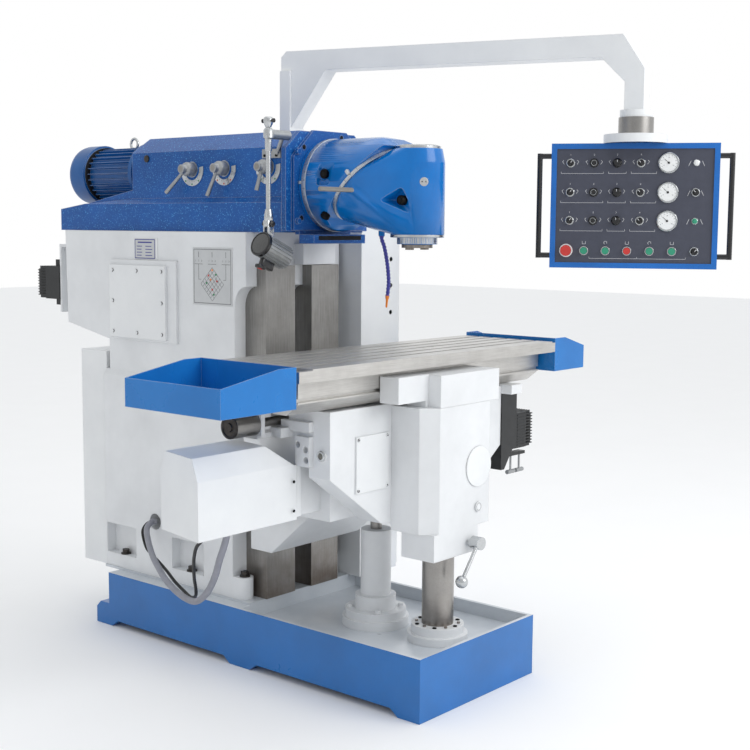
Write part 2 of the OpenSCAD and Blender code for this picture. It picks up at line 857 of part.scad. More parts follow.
// Ram slide, open below for the guide rails, with the nut of its feed screw
module motor_room() {
    rod_y([0, motor_y0 - gap, motor_z], motor_flange_r + motor_room_gap, ram_back - motor_y0, fn_big);
}
module ram() {
    color("DodgerBlue") difference() {
        union() {
            intersection() {
                along_y(ram_front, ram_back, [[-ram_half, ram_z0], [ram_half, ram_z0], [ram_half, ram_crease_z],
                    [housing_half, ram_shoulder_z], [-housing_half, ram_shoulder_z], [-ram_half, ram_crease_z]]);
                along_x(-ram_half, ram_half, [[ram_front, ram_z0], [ram_back, ram_z0], [ram_back, ram_rear_z],
                    [ram_wedge_y, ram_crease_z + over], [housing_back, ram_shoulder_z], [ram_front, ram_shoulder_z]]);
            }
            block([-ram_nut_x, ram_nut_y - ram_nut_l / 2, ram_nut_z0],
                [ram_nut_x, ram_nut_y + ram_nut_l / 2, ram_rear_z]);
        }
        difference() {
            block([-guide_x - gap, ram_front - over, ram_z0 - over],
                [guide_x + gap, ram_back + over, ram_z0 + guide_h]);
            block([-ram_nut_x, ram_nut_y - ram_nut_l / 2, ram_z0 - over * 2],
                [ram_nut_x, ram_nut_y + ram_nut_l / 2, ram_z0 + guide_h + over]);
        }
        rod_y([0, ram_nut_y - ram_nut_l, ram_screw_z], ram_screw_r + run_gap, ram_nut_l * 2);
        motor_room();
    }
}

// Gear housing on top of the ram, with the wedge and the motor neck behind it
module gear_housing() {
    color("DodgerBlue") difference() {
        union() {
            intersection() {
                along_y(housing_front, housing_back, [[-housing_half, ram_shoulder_z], [housing_half, ram_shoulder_z],
                    [housing_half, housing_crease_back], [housing_top_half, housing_top],
                    [-housing_top_half, housing_top], [-housing_half, housing_crease_back]]);
                along_x(-housing_half, housing_half, [[housing_front, ram_shoulder_z], [housing_back, ram_shoulder_z],
                    [housing_back, housing_crease_back], [housing_back - housing_wall, housing_top],
                    [housing_front, housing_top]]);
            }
            along_x(-housing_half, housing_half, [[housing_back - over, ram_shoulder_z],
                [housing_back, ram_shoulder_z], [ram_wedge_y, ram_crease_z + over],
                [ram_wedge_y, ram_crease_z + over * 6], [housing_back - over, housing_rear_z]]);
            rod_y([0, housing_back - over, motor_z], neck_r, motor_y0 - housing_back + over, fn_big);
        }
        along_y(housing_front + housing_wall * 2, housing_back - housing_wall,
            [[-housing_half + housing_wall * 2, ram_shoulder_z - over], [housing_half - housing_wall * 2, ram_shoulder_z - over],
            [housing_half - housing_wall * 2, housing_crease_back - housing_wall],
            [housing_top_half - housing_wall, housing_top - housing_wall],
            [-housing_top_half + housing_wall, housing_top - housing_wall],
            [-housing_half + housing_wall * 2, housing_crease_back - housing_wall]]);
        for (y = lever_y) rod_x([-housing_half - over, y, lever_z], lever_shaft_r + run_gap, lever_shaft_l + over * 2);
        motor_room();
    }
}

// Main motor with its flange, fins, fan cover, terminal box and lifting eye
module main_motor() {
    fins_l = motor_y1 - fan_cover_l - motor_y0;
    color("SteelBlue") {
        rod_y([0, motor_y0, motor_z], motor_flange_r, motor_flange_t, fn_big);
        rod_y([0, motor_y0, motor_z], motor_r - fin_h, motor_y1 - motor_y0 - fin_h, fn_big);
        rod_y([0, motor_y1 - fan_cover_l, motor_z], fan_cover_r, fan_cover_l, fn_big);
        for (i = [0:fin_count - 1]) translate([0, motor_y0, motor_z]) rotate([0, 360 * i / fin_count, 0])
            block([motor_r - fin_h * 2, motor_flange_t - over, -fin_w / 2], [motor_r, fins_l + over, fin_w / 2]);
        block([motor_r / 2, motor_y0 + motor_flange_t * 2, motor_z - motor_box_w / 2],
            [motor_r + motor_box_h, motor_y0 + motor_flange_t * 2 + motor_box_l, motor_z + motor_box_w / 2]);
        translate([0, motor_y0 + eye_back, motor_z + motor_r + eye_r - eye_wire_r]) rotate([0, 90, 0])
            rotate_extrude($fn = fn_mid) translate([eye_r, 0]) circle(r = eye_wire_r, $fn = fn_low);
    }
}

// Speed levers: shaft in the housing, hub, cap and rod
module speed_lever(i) {
    a = lever_turns[i];
    x = -housing_half;
    tip = [x - lever_hub_l, lever_y[i] + lever_rods[i] * cos(a), lever_z + lever_rods[i] * sin(a)];
    color("LightGray") {
        rod_x([x, lever_y[i], lever_z], lever_shaft_r, lever_shaft_l);
        rod_x([x - lever_hub_l, lever_y[i], lever_z], lever_hub_r, lever_hub_l - dial_t - gap);
        rod_x([x - lever_hub_l, lever_y[i], lever_z], lever_shaft_r, lever_hub_l + over);
        rod_x([x - lever_hub_l - lever_cap_l, lever_y[i], lever_z], lever_cap_r, lever_cap_l + over);
        bar([x - lever_hub_l + lever_rod_r, lever_y[i], lever_z], tip, lever_rod_r);
    }
}
module speed_lever_rear() { speed_lever(0); }
module speed_lever_middle() { speed_lever(1); }
module speed_lever_front() { speed_lever(2); }

// Dial plates behind the levers: each a fan-shaped plate around the lever shaft
module speed_dials() {
    x = -housing_half - dial_t;
    color("Silver") for (y = lever_y) difference() {
        rod_x([x, y, lever_z], dial_r1, dial_t, fn_mid);
        rod_x([x - over, y, lever_z], lever_shaft_r + gap, dial_t + over * 2);
        block([x - over, y - dial_r1 - over, lever_z + lever_hub_r / 2],
            [x + dial_t + over, y + dial_r1 + over, lever_z + dial_r1 + over]);
    }
}

// Flange on the ram nose, the ring plate with its bolts, and the low block under them
module front_flange() {
    y0 = ram_front - flange_t;
    y1 = y0 - ring_plate_t;
    color("RoyalBlue") {
        along_y(y0, ram_front, [[-flange_half, flange_z0], [flange_half, flange_z0], [flange_half, flange_side_z],
            [flange_top_half, flange_top_z], [-flange_top_half, flange_top_z], [-flange_half, flange_side_z]]);
        along_y(y1, y0 + over, [[-ring_plate_half, ring_plate_z0], [ring_plate_half, ring_plate_z0],
            [ring_plate_half, ring_plate_side_z], [ring_plate_top_half, ring_plate_z1],
            [-ring_plate_top_half, ring_plate_z1], [-ring_plate_half, ring_plate_side_z]]);
    }
    color("Silver") for (s = [-1, 1]) for (z = [flange_z0 + tiny_r * 6, flange_side_z - tiny_r * 2])
        rod_y([s * (ring_plate_half - tiny_r * 3), y1 - tiny_r * 2, z], bolt_r, tiny_r * 2 + over, 6);
    color("RoyalBlue") difference() {
        block([low_block_x[0], y0 - low_block_l, low_block_z0], [low_block_x[1], y0 + over, low_block_z1]);
        block([low_block_x[0] + low_slot_in, y0 - low_block_l - over, low_block_z0 + low_slot_h],
            [low_block_x[1] - low_slot_in, y0 - low_block_l + low_slot_in, low_block_z0 + low_slot_h * 2]);
    }
    color("RoyalBlue") block([low_block_x[0], ram_front - flange_t, low_block_z1 - over],
        [low_block_x[1], ram_front, flange_z0 + over]);
}

// Lamp: bracket on the gear housing, folding arm and tilting head
module lamp_bracket() {
    x = -housing_half;
    color("Silver") {
        block([x - lamp_plate.x, lamp_plate_y, lamp_plate_z],
            [x, lamp_plate_y + lamp_plate.y, lamp_plate_z + lamp_plate.z]);
        bar([x - lamp_plate.x, lamp_plate_y + lamp_boss_r, lamp_plate_z + lamp_plate.z - lamp_boss_r],
            [x - lamp_plate.x - lamp_boss_r, lamp_y, lamp_pivot_z], lamp_pin_r);
        rod_x([lamp_x + lamp_arm_r + gap, lamp_y, lamp_pivot_z], lamp_boss_r,
            -lamp_x - lamp_arm_r + x - lamp_plate.x + lamp_boss_r / 2);
        rod_x([lamp_x - lamp_boss_r, lamp_y, lamp_pivot_z], lamp_pin_r, lamp_boss_r * 2);
    }
}
module lamp_arm() {
    color("Silver") difference() {
        union() {
            rod_z([lamp_x, lamp_y, lamp_joint_z + lamp_boss_r / 2], lamp_arm_r, lamp_arm_top - lamp_joint_z - lamp_boss_r / 2);
            rod_x([lamp_x - lamp_arm_r, lamp_y, lamp_pivot_z], lamp_boss_r, lamp_arm_r * 2);
            rod_y([lamp_x, lamp_y - lamp_arm_r, lamp_joint_z], lamp_boss_r, lamp_arm_r * 2);
            translate([lamp_x, lamp_y, lamp_arm_top]) sphere(r = lamp_boss_r, $fn = fn_low);
        }
        rod_x([lamp_x - lamp_arm_r - over, lamp_y, lamp_pivot_z], lamp_pin_r + run_gap, lamp_arm_r * 2 + over * 2);
        rod_y([lamp_x, lamp_y - lamp_arm_r - over, lamp_joint_z], lamp_pin_r + run_gap, lamp_arm_r * 2 + over * 2);
    }
}
module lamp_head() {
    color("Gray") {
        rod_y([lamp_x, lamp_y - lamp_boss_r, lamp_joint_z], lamp_pin_r, lamp_boss_r * 2);
        for (s = [-1, 1]) block([lamp_x - lamp_boss_r,
            lamp_y + (s > 0 ? lamp_arm_r + gap : -lamp_boss_r - lamp_arm_r / 2), lamp_joint_z - lamp_neck],
            [lamp_x + lamp_boss_r, lamp_y + (s > 0 ? lamp_boss_r + lamp_arm_r / 2 : -lamp_arm_r - gap),
            lamp_joint_z + lamp_boss_r]);
        translate([lamp_x + lamp_shift, lamp_y, lamp_joint_z - lamp_neck - lamp_head_r]) rotate([0, lamp_tilt, 0])
            rod_x([-lamp_head_l / 2, 0, 0], lamp_head_r, lamp_head_l, fn_mid);
    }
}

// Swivel housing between the upright ring and the slanted ring
module slant(forward = 0) { translate([0, tilt_y, tilt_z]) rotate([135, 0, 0]) translate([0, 0, forward]) children(); }
module swivel_housing() {
    ring_plane = tilt_y + tilt_z + tilt_t * sqrt(2);
    color("DeepSkyBlue") difference() {
        union() {
            intersection() {
                rod_y([0, tilt_y - tilt_r, swivel_z], housing_r, ring_y - tilt_y + tilt_r, fn_big);
                along_x(-housing_r, housing_r, concat([[ring_y, swivel_z - housing_r], [ring_y, swivel_z + housing_r]],
                    housing_top_pts, [[housing_slant_y, ring_plane - housing_slant_y],
                    [ring_plane - housing_low_z, housing_low_z], housing_low,
                    [housing_low.x + tilt_t, swivel_z - housing_r]]));
            }
        }
        rod_x([-housing_r * 1.5, recess_y, recess_z], recess_r, housing_r / 2 + recess_r, fn_low);
    }
    color("Silver") rod_x([-housing_r + tiny_r, recess_y, recess_z], tiny_r * 1.5, recess_r - tiny_r + over, 6);
}
module housing_scale() {
    color("AliceBlue") rod_y([0, ring_y, swivel_z], ring_r, ring_t - gap, fn_big);
}

// Head in front of the slanted ring: body, barrel around the spindle, bearing covers, hose gland
module behind_ring() { slant(-ring_r * 2) block([-ring_r * 2, -ring_r * 2, 0], [ring_r * 2, ring_r * 2, ring_r * 2]); }
module milling_head() {
    color("DodgerBlue") difference() {
        union() {
            hull() {
                slant() cylinder(r = tilt_r - tiny_r, h = tilt_t, $fn = fn_hull);
                rod_z([0, spindle_y, barrel_z0], barrel_r, barrel_z1 - barrel_z0 - barrel_r / 2, fn_hull);
                rod_z([0, spindle_y, barrel_z1 - barrel_r / 2], barrel_top_r, barrel_r / 2, fn_hull);
            }
            rod_z([0, spindle_y, barrel_z0 - bottom_ring_t], barrel_r - over, bottom_ring_t + over, fn_big);
            rod_z([0, spindle_y, cover_ring_z0], cover_ring_r, barrel_z0 - cover_ring_z0, fn_big);
            rod_z([hose_route[0].x, hose_route[0].y, hose_route[0].z + gap], hose_r * 1.5, gland_l, fn_low);
            rod_x([-pin_x, pin_y, pin_z], pin_r, pin_x - pin_in, fn_low);
        }
        behind_ring();
        rod_z([0, spindle_y, bearing_low_z], bearing_bore_r, bearing_high_z + bearing_high_h - bearing_low_z, fn_big);
        rod_z([0, spindle_y, bearing_low_z], spindle_r + gap * 10, barrel_z1 - bearing_low_z + over, fn_big);
        rod_z([0, spindle_y, cover_ring_z0 - over], nose_d / 2 + gap, bearing_low_z - cover_ring_z0 + over * 2, fn_big);
    }
}
module head_scale() {
    color("AliceBlue") slant(gap - tilt_t) cylinder(r = tilt_r, h = tilt_t - gap, $fn = fn_big);
}
module head_cap() {
    color("Silver") difference() {
        rod_z([0, spindle_y, barrel_z1], cap_r, cap_t, fn_big);
        rod_z([0, spindle_y, barrel_z1 - over], drawbar_r * 2, cap_t + over * 2, fn_mid);
        behind_ring();
    }
}

// Spindle with its nose, taper and drive keys, on two bearings
module spindle() {
    pilot = nose_d / 2;
    color("Gainsboro") difference() {
        union() {
            rod_z([0, spindle_y, nose_z0], pilot, cover_ring_z0 - nose_z0 - over, fn_big);
            rod_z([0, spindle_y, nose_z0], pilot - gap * 10, bearing_low_z - nose_z0 - gap, fn_big);
            rod_z([0, spindle_y, nose_z0], spindle_r, spindle_top - nose_z0, fn_big);
            for (s = [-1, 1]) block([s > 0 ? nose_key_r0 : -nose_key_r1, spindle_y - nose_key_w / 2, nose_z0 - nose_key_h],
                [s > 0 ? nose_key_r1 : -nose_key_r0, spindle_y + nose_key_w / 2, nose_z0 + over]);
        }
        translate([0, spindle_y, nose_z0]) cylinder(r1 = taper_r, r2 = taper_small_r, h = taper_len, $fn = fn_big);
        rod_z([0, spindle_y, nose_z0 + taper_len - over], drawbar_r, spindle_top - nose_z0);
        for (a = [45:90:315]) translate([0, spindle_y, nose_z0 - over]) rotate(a)
            rod_z([nose_bolt_r, 0, 0], nose_bolt_hole_r, nose_bolt_depth + over, fn_low);
    }
}
module spindle_bearings() {
    color("DarkGray") for (b = [[bearing_low_z, bearing_low_h], [bearing_high_z, bearing_high_h]]) difference() {
        rod_z([0, spindle_y, b[0]], bearing_bore_r, b[1], fn_big);
        rod_z([0, spindle_y, b[0] - over], spindle_r + run_gap, b[1] + over * 2, fn_big);
    }
}

// Coolant hose hanging from its gland under the head, with the nozzle at its end
module coolant_hose() {
    end = hose_route[len(hose_route) - 1];
    color("MediumSlateBlue") swept_tube(hose_route, hose_r, hose_sides);
    color("Orange") rod_z([end.x, end.y, end.z - nozzle_l], hose_r / 2, nozzle_l + over * 2, fn_low);
}

// Knee: front plate, middle body, slide on the ways, saddle rails, ports and screw bearings
module knee() {
    rail_top = table_z0 + way_h - gap;
    color("WhiteSmoke") difference() {
        union() {
            along_y(knee_y0, knee_y1, [[-knee_tip_x, knee_tip_z], [knee_tip_x, knee_tip_z], [knee_low_x, knee_low_z],
                [knee_half, knee_side_z], [knee_half, knee_top], [-knee_half, knee_top], [-knee_half, knee_side_z],
                [-knee_low_x, knee_low_z]]);
            block([-body_x, knee_y1 - over, body_low_z], [body_x, -gap + way_front - way_front * 2, knee_top]);
            block([-knee_half, knee_y1 - over, knee_side_z + way_h], [knee_half, way_y1 + way_h, knee_top]);
            block([-body_x, way_y0 + gap, knee_top - over], [body_x, way_y1 - gap, rail_top]);
            // Slide with cheeks around the ways
            block([-slide_x, -way_front - over, slide_low_z], [slide_x, way_front - gap, knee_top]);
            for (s = [-1, 1]) block([s > 0 ? way_x1 + gap : -slide_x, way_front - gap - over, slide_low_z],
                [s > 0 ? slide_x : -way_x1 - gap, cheek_y, knee_top]);
            along_x(-slide_x, slide_x, [[-way_front - over, slide_low_z], [-way_front, body_low_z + over],
                [lift_y + tube_bore_r, body_low_z + over]]);
            block([-port_x, port_y[0], port_z[0]], [-knee_half + over, port_y[1], port_z[1]]);
            block([-port_x, saddle_y[0], saddle_z[0]], [-knee_half + over, saddle_y[1], saddle_z[1]]);
            block([-pad_x, pad_y[0], pad_z[0]], [-knee_half + over, pad_y[1], pad_z[1]]);
            // Bearing wall of the table screw at the left end
            block([coupling_x[1], x_screw_y - coupling_r, x_screw_z - coupling_r],
                [coupling_x[1] + coupling_wall_t, x_screw_y + coupling_r, x_screw_z + coupling_r]);
            block([knee_half - over, nut_slot_y0 - coupling_wall_t, nut_z0 - coupling_wall_t],
                [knee_half + coupling_wall_t, nut_slot_y1 + coupling_wall_t, x_screw_z + coupling_r]);
            // Left shoulder that the hood is bolted to
            block([-knee_half, port_y[1], hood_low_z], [-body_x + over, hood_profile[5][0], knee_side_z + way_h + over]);
            block([coupling_x[1] + over, x_screw_y - coupling_r / 2, pad_z[0]],
                [-knee_half + over, x_screw_y + coupling_r, pad_z[0] + coupling_wall_t]);
        }
        block([-knee_half - over, nut_slot_y0, nut_z0 - nut_gap], [knee_half + over, nut_slot_y1, rail_top + over]);
        rod_x([coupling_x[1] - over, x_screw_y, x_screw_z], x_screw_r + run_gap, screw_end_x - coupling_x[1] + coupling_wall_t);
        rod_z([0, lift_y, slide_low_z - over], tube_bore_r, tube_bore_top - slide_low_z + over, fn_big);
        rod_z([0, lift_y, tube_bore_top - over], z_screw_r + run_gap, z_screw_z1 - tube_bore_top + over + gap, fn_big);
        for (p = port_holes) rod_x([-port_x - over, p[0], p[1]], port_hole_r, port_hole_r * 2, fn_low);
        // Hollows on both sides of the lift tube, open below
        for (s = [-1, 1]) block([s > 0 ? rib_x : core_x - body_x, knee_y1 + way_h, body_low_z - over],
            [s > 0 ? body_x - core_x : -rib_x, -way_front * 2, core_z1]);
    }
}

// Gearbox on the front of the knee, with the bore that slides on the support column
module knee_gearbox() {
    color("White") difference() {
        union() {
            along_z(gear_z0, gear_z1, [[gear_x[0] + gear_cut, gear_y0], [gear_x[1], gear_y0], [gear_x[1], knee_y0],
                [gear_x[0], knee_y0], [gear_x[0], gear_y0 + gear_cut]]);
            block([low_box_x[0], gear_y0, low_box_z0], [low_box_x[1] + knee_lever_r * 2, low_box_y1, gear_z0 + over]);
        }
        rod_z([0, support_y, low_box_z0 - over], support_r + run_gap, support_bore_top - low_box_z0 + over, fn_big);
        rod_y([knee_lever_x, gear_y0 - over, knee_lever_z], lever_shaft_r + run_gap, lever_shaft_l + over * 2);
    }
}
module gearbox_cover() {
    color("White") {
        block([top_cover_x[0], gear_y0 - gap * 5, gear_z1], [top_cover_x[1], top_cover_y1, top_cover_z1]);
        block([limit_x[0], gear_y0 + gear_cut, limit_z[0]], [limit_x[1] + over, top_cover_y1, limit_z[1]]);
        block([limit_x[1], gear_y0 + gear_cut, gear_z1], [top_cover_x[0] + over, top_cover_y1, limit_z[1]]);
    }
}

// Cover plate, disc and oil sights on the knee, and the stop block at its right end
module knee_covers() {
    color("WhiteSmoke") block([cover_plate_x[0], knee_y0 - cover_plate_t, cover_plate_z[0]],
        [cover_plate_x[1], knee_y0, cover_plate_z[1]]);
    color("DimGray") for (x = [cover_plate_x[0] + tiny_r * 2, cover_plate_x[1] - tiny_r * 2])
        for (z = [cover_plate_z[0] + tiny_r * 2, cover_plate_z[1] - tiny_r * 2])
            rod_y([x, knee_y0 - cover_plate_t - tiny_r / 2, z], tiny_r, tiny_r / 2, fn_low);
    color("DarkGray") rod_y([disc_x, gear_y0 - disc_t, disc_z], disc_r, disc_t, fn_mid);
    color("Silver") {
        rod_y([disc_x, gear_y0 - sight_t, sight_z], sight_r, sight_t, fn_low);
        rod_x([-knee_half - sight_t, side_sight_y, side_sight_z], sight_r, sight_t, fn_low);
    }
    color("DimGray") block([knee_half, stop_y[0], stop_z[0]], [stop_x, stop_y[1] + way_h, stop_z[1]]);
}

// Hood over the feed motor, open to the knee, with a slanted inner end
module hood_solid(wall = 0) {
    p = hood_profile;
    cy = (p[0][0] + p[3][0]) / 2;
    cz = (p[0][1] + p[3][1]) / 2;
    along_x(hood_x0 + wall, hood_x1 + (wall > 0 ? over : 0), [for (q = p)
        [q[0] + (q[0] > cy ? -wall : wall), q[1] + (q[1] > cz ? -wall : wall)]]);
}
module drive_hood() {
    p = hood_profile;
    color("WhiteSmoke") difference() {
        hood_solid();
        hood_solid(hood_wall);
        // Slanted upper corner at the inner end
        along_y(p[3][0] - over, p[5][0] + over, [[-hood_top_x, p[0][1] + over], [-hood_low_x, hood_slant_z],
            [hood_x1 + over, hood_slant_z], [hood_x1 + over, p[0][1] + over]]);
    }
    color("WhiteSmoke") {
        difference() {
            block([hood_x1, p[3][0], hood_low_z], [-knee_half, p[4][0] - hood_wall, port_z[0] - gap]);
            block([hood_x1 - over, p[3][0] + hood_lip, x_motor_base_z - gap],
                [-knee_half + over, p[4][0] - hood_lip, x_motor_z[1] + gap]);
        }
        for (q = [conduit_route[len(conduit_route) - 1], cable_route[len(cable_route) - 1]])
            rod_z([q.x, q.y, q.z + gap], conduit_r + tiny_r / 2, p[3][1] - q.z + tiny_r * 2, fn_low);
    }
}
module feed_motor() {
    color("DimGray") {
        block([x_motor_x[0], x_motor_y[0], x_motor_z[0]], [x_motor_x[1], x_motor_y[1], x_motor_z[1]]);
        block([x_motor_x[1] - over, x_motor_y[0], x_motor_base_z], [-knee_half, x_motor_y[1], x_motor_z[0] + over]);
    }
}
// Motor that lifts the knee, behind the end cover, with the shelf that holds the clamp handles
module lift_motor() {
    color("White") {
        along_y(end_cover_y[0], end_cover_y[1], [[knee_half, end_cover_z[0]], [end_cover_low_x, end_cover_z[0]],
            [end_cover_x, end_cover_z[1]], [end_cover_x, end_cover_z[2]], [knee_half, end_cover_z[2]]]);
        block([knee_half, end_cover_y[1] - over, lift_box_z[0]], [end_cover_x, lift_box_y[1], lift_box_z[1]]);
        block([knee_half + over, handle_y - handle_bar_r * 2, lift_box_z[0]],
            [handle_x[0] + handle_bar_r * 2, handle_y + handle_bar_r * 2, lift_box_z[0] + handle_shelf_t]);
    }
    color("DimGray") {
        block([z_motor_x[0] - over, z_motor_y[0], z_motor_z[0]], [z_motor_x[1] - z_motor_cap, z_motor_y[1], z_motor_z[1]]);
        block([z_motor_x[1] - z_motor_cap - over, z_motor_y[0] + tiny_r * 2, z_motor_z[0] + tiny_r * 2],
            [z_motor_x[1], z_motor_y[1] - tiny_r * 2, z_motor_z[1] - tiny_r * 2]);
        block([z_motor_x[0] + z_motor_cap, z_motor_y[0] + tiny_r * 5, z_motor_z[1] - over],
            [z_motor_x[0] + z_motor_cap * 2, z_motor_y[1] - tiny_r * 5, z_motor_z[1] + z_motor_box_h]);
    }
}

// Screws of the table and of the knee
module x_screw() {
    color("DarkGray") {
        rod_x([coupling_x[0], x_screw_y, x_screw_z], coupling_r, coupling_x[1] - coupling_x[0] - gap);
        rod_x([coupling_x[0], x_screw_y, x_screw_z], x_screw_r, screw_end_x - coupling_x[0]);
    }
}
module z_screw() {
    color("DarkGray") rod_z([0, lift_y, z_screw_z0], z_screw_r, z_screw_z1 - z_screw_z0, fn_big);
}

// Lever with a ball at the front of the gearbox
module knee_lever() {
    y = gear_y0 - gap;
    color("Silver") {
        rod_y([knee_lever_x, y - knee_lever_l, knee_lever_z], knee_lever_r, knee_lever_l);
        rod_y([knee_lever_x, y - over, knee_lever_z], lever_shaft_r, lever_shaft_l + over);
        rod_y([knee_cap[0], y - knee_lever_l * 1.3, knee_cap[1]], knee_lever_r * 0.7, knee_lever_l);
        bar([knee_cap[0], y - knee_lever_l * 1.1, knee_cap[1]], [knee_ball[0], y - knee_lever_l * 1.1, knee_ball[1]],
            knee_rod_r);
        translate([knee_ball[0], y - knee_lever_l * 1.1, knee_ball[1]]) rotate([90, 0, 0])
            sphere(r = knee_ball_r, $fn = fn_low);
    }
}

// Clamp handles hanging under the shelf on the right of the knee
module clamp_handle(i) {
    z = lift_box_z[0] - gap;
    color("Silver") {
        rod_z([handle_x[i], handle_y, z - handle_stem_l], handle_stem_r, handle_stem_l, fn_low);
        rod_x([handle_x[i] - handle_bar_l / 2, handle_y, z - handle_stem_l], handle_bar_r, handle_bar_l, fn_low);
    }
}
module clamp_handle_outer() { clamp_handle(0); }
module clamp_handle_inner() { clamp_handle(1); }

// Conduit and cable from the column to the hood
module motor_conduit() { color("Silver") swept_tube(conduit_route, conduit_r, conduit_sides); }
module motor_cable() { color("Black") swept_tube(cable_route, cable_r, cable_sides); }

// Table: plate with T-slots, body with a stop groove, dovetail foot, end lips and the nut of its screw
module table() {
    plate_z0 = table_top - table_plate_t;
    mid_y = (table_y0 + table_y1) / 2;
    color("LightGray") difference() {
        union() {
            block([-table_half, table_y0, plate_z0], [table_half, table_y1, table_top]);
            along_x(-table_half, table_half, [[table_body_y0, plate_z0 + over], [table_body_y0, table_z0 + dovetail_h],
                [table_body_y0 + dovetail_in, table_z0], [table_y1 - over * 5, table_z0], [table_y1 - over * 5, plate_z0 + over]]);
            for (s = [-1, 1]) block([s > 0 ? table_half - over : -table_half - end_lip_l, table_y0, table_top - end_lip_drop - end_lip_t],
                [s > 0 ? table_half + tray_right_x - table_half : -table_half + over, table_y1, table_top - end_lip_drop]);
        }
        for (i = [0:slot_count - 1]) {
            y = mid_y + (i - (slot_count - 1) / 2) * slot_pitch;
            block([-table_half - over, y - slot_w / 2, table_top - slot_depth],
                [table_half + over, y + slot_w / 2, table_top + over]);
            block([-table_half - over, y - slot_under_w / 2, table_top - slot_depth],
                [table_half + over, y + slot_under_w / 2, table_top - slot_depth + slot_under_h]);
        }
        for (s = [-1, 1]) block([s > 0 ? table_half : -table_half - end_trough_w * 2, table_y0 + end_trough_w, table_top - slot_depth],
            [s > 0 ? table_half + end_trough_w : -table_half, table_y1 - end_trough_w, table_top + over]);
        block([-table_half - over, table_body_y0 - over, table_groove_z - table_groove_w / 2],
            [table_half + over, table_body_y0 + table_groove_d, table_groove_z + table_groove_w / 2]);
        block([-table_half - over, way_y0, table_z0 - over], [table_half + over, way_y1, table_z0 + way_h]);
    }
    // Nut bracket in the knee's slot
    color("Goldenrod") difference() {
        block([-nut_l / 2, nut_slot_y0 + nut_gap, nut_z0], [nut_l / 2, nut_slot_y1 - nut_gap, table_z0 + way_h + over]);
        rod_x([-nut_l, x_screw_y, x_screw_z], x_screw_r + run_gap, nut_l * 2);
    }
}

// Chip trays at both ends of the table: the side walls slope down to the outer end
module tray(l) {
    difference() {
        along_y(tray_y0, tray_y1, [[0, tray_z0], [l, tray_z0], [l, tray_outer_z], [tray_slope_l, tray_inner_z], [0, tray_inner_z]]);
        block([tray_wall, tray_y0 + tray_wall, tray_z0 + tray_wall], [l - tray_wall, tray_y1 - tray_wall, tray_inner_z + over]);
    }
}
module tray_left() {
    color("DodgerBlue") translate([-tray_x, 0, 0]) mirror([1, 0, 0]) tray(tray_l);
    color("DimGray") block([-tray_x, table_y0 + pan_wall, tray_z0 + way_h],
        [-table_half - end_lip_l, table_y1 - pan_wall, table_top - end_lip_drop]);
}
module tray_right() { color("DodgerBlue") translate([tray_right_x, 0, 0]) tray(tray_right_l); }

// Foot of the pendant: base plate, collar and pivot pin
module pendant_post() {
    color("White") translate([post_x, post_y, 0]) rotate(arm_turn) {
        block([-post_base / 2, -post_base / 2, cab_z1], [post_base / 2, post_base / 2, cab_z1 + post_base_t]);
        rod_z([0, 0, cab_z1], foot_collar_r, post_foot_h);
        rod_z([0, 0, cab_z1], pivot_r, post_foot_h + pivot_h);
    }
}

// Swinging arm: collar on the pivot, pillar, gusset, long arm, drop and the fixed half of the turret
module pendant_arm() {
    z0 = arm_top - arm_h;
    foot_z = cab_z1 + post_foot_h + gap;
    back = post_t / 2;
    end = -arm_reach;
    hollow_low = drop_z - turret_ring_h + turret_pin_h + over / 2;
    color("White") translate([post_x, post_y, 0]) rotate(arm_turn) {
        difference() {
            union() {
                rod_z([0, 0, foot_z], foot_collar_r, pivot_h + over * 10);
                along_x(-post_w / 2, post_w / 2, [[back, foot_z + pivot_h], [-back, foot_z + pivot_h],
                    [-back, z0 + over], [back, z0 + over]]);
                along_x(-arm_w / 2, arm_w / 2, [[back, z0 - gusset_h], [-back, z0 - gusset_h], [-back - gusset, z0],
                    [end + drop_slant + drop_w / 2, z0], [end + drop_w / 2, z0 - drop_slant], [end + drop_w / 2, drop_z],
                    [end - drop_w / 2, drop_z], [end - drop_w / 2, z0 - drop_slant / 2], [end + drop_slant / 2, arm_top],
                    [back - drop_slant / 4, arm_top], [back, arm_top - drop_slant / 4]]);
                rod_z([0, end, drop_z - turret_ring_h], turret_ring_r, turret_ring_h + over);
            }
            rod_z([0, 0, foot_z - over], pivot_r + run_gap, pivot_h + over + gap, fn_big);
            rod_z([0, end, drop_z - turret_ring_h - over], turret_pin_r + run_gap, turret_pin_h + over * 2, fn_mid);
            // Hollow for the wires
            along_x(arm_wall - arm_w / 2, arm_w / 2 - arm_wall, [[end - drop_w / 2 + arm_wall, hollow_low],
                [end + drop_w / 2 - arm_wall, hollow_low], [end + drop_w / 2 - arm_wall, z0 - drop_slant],
                [end + drop_slant + drop_w / 2, z0 + arm_wall], [back - arm_wall, z0 + arm_wall],
                [back - arm_wall, arm_top - arm_wall * 6], [back - arm_wall * 6, arm_top - arm_wall],
                [end + drop_slant / 2, arm_top - arm_wall], [end - drop_w / 2 + arm_wall, z0 - drop_slant / 2]]);
            block([arm_wall - arm_w / 2, arm_wall - back, foot_z + pivot_h + arm_wall * 4],
                [arm_w / 2 - arm_wall, back - arm_wall, z0 + arm_wall * 2]);
        }
    }
}

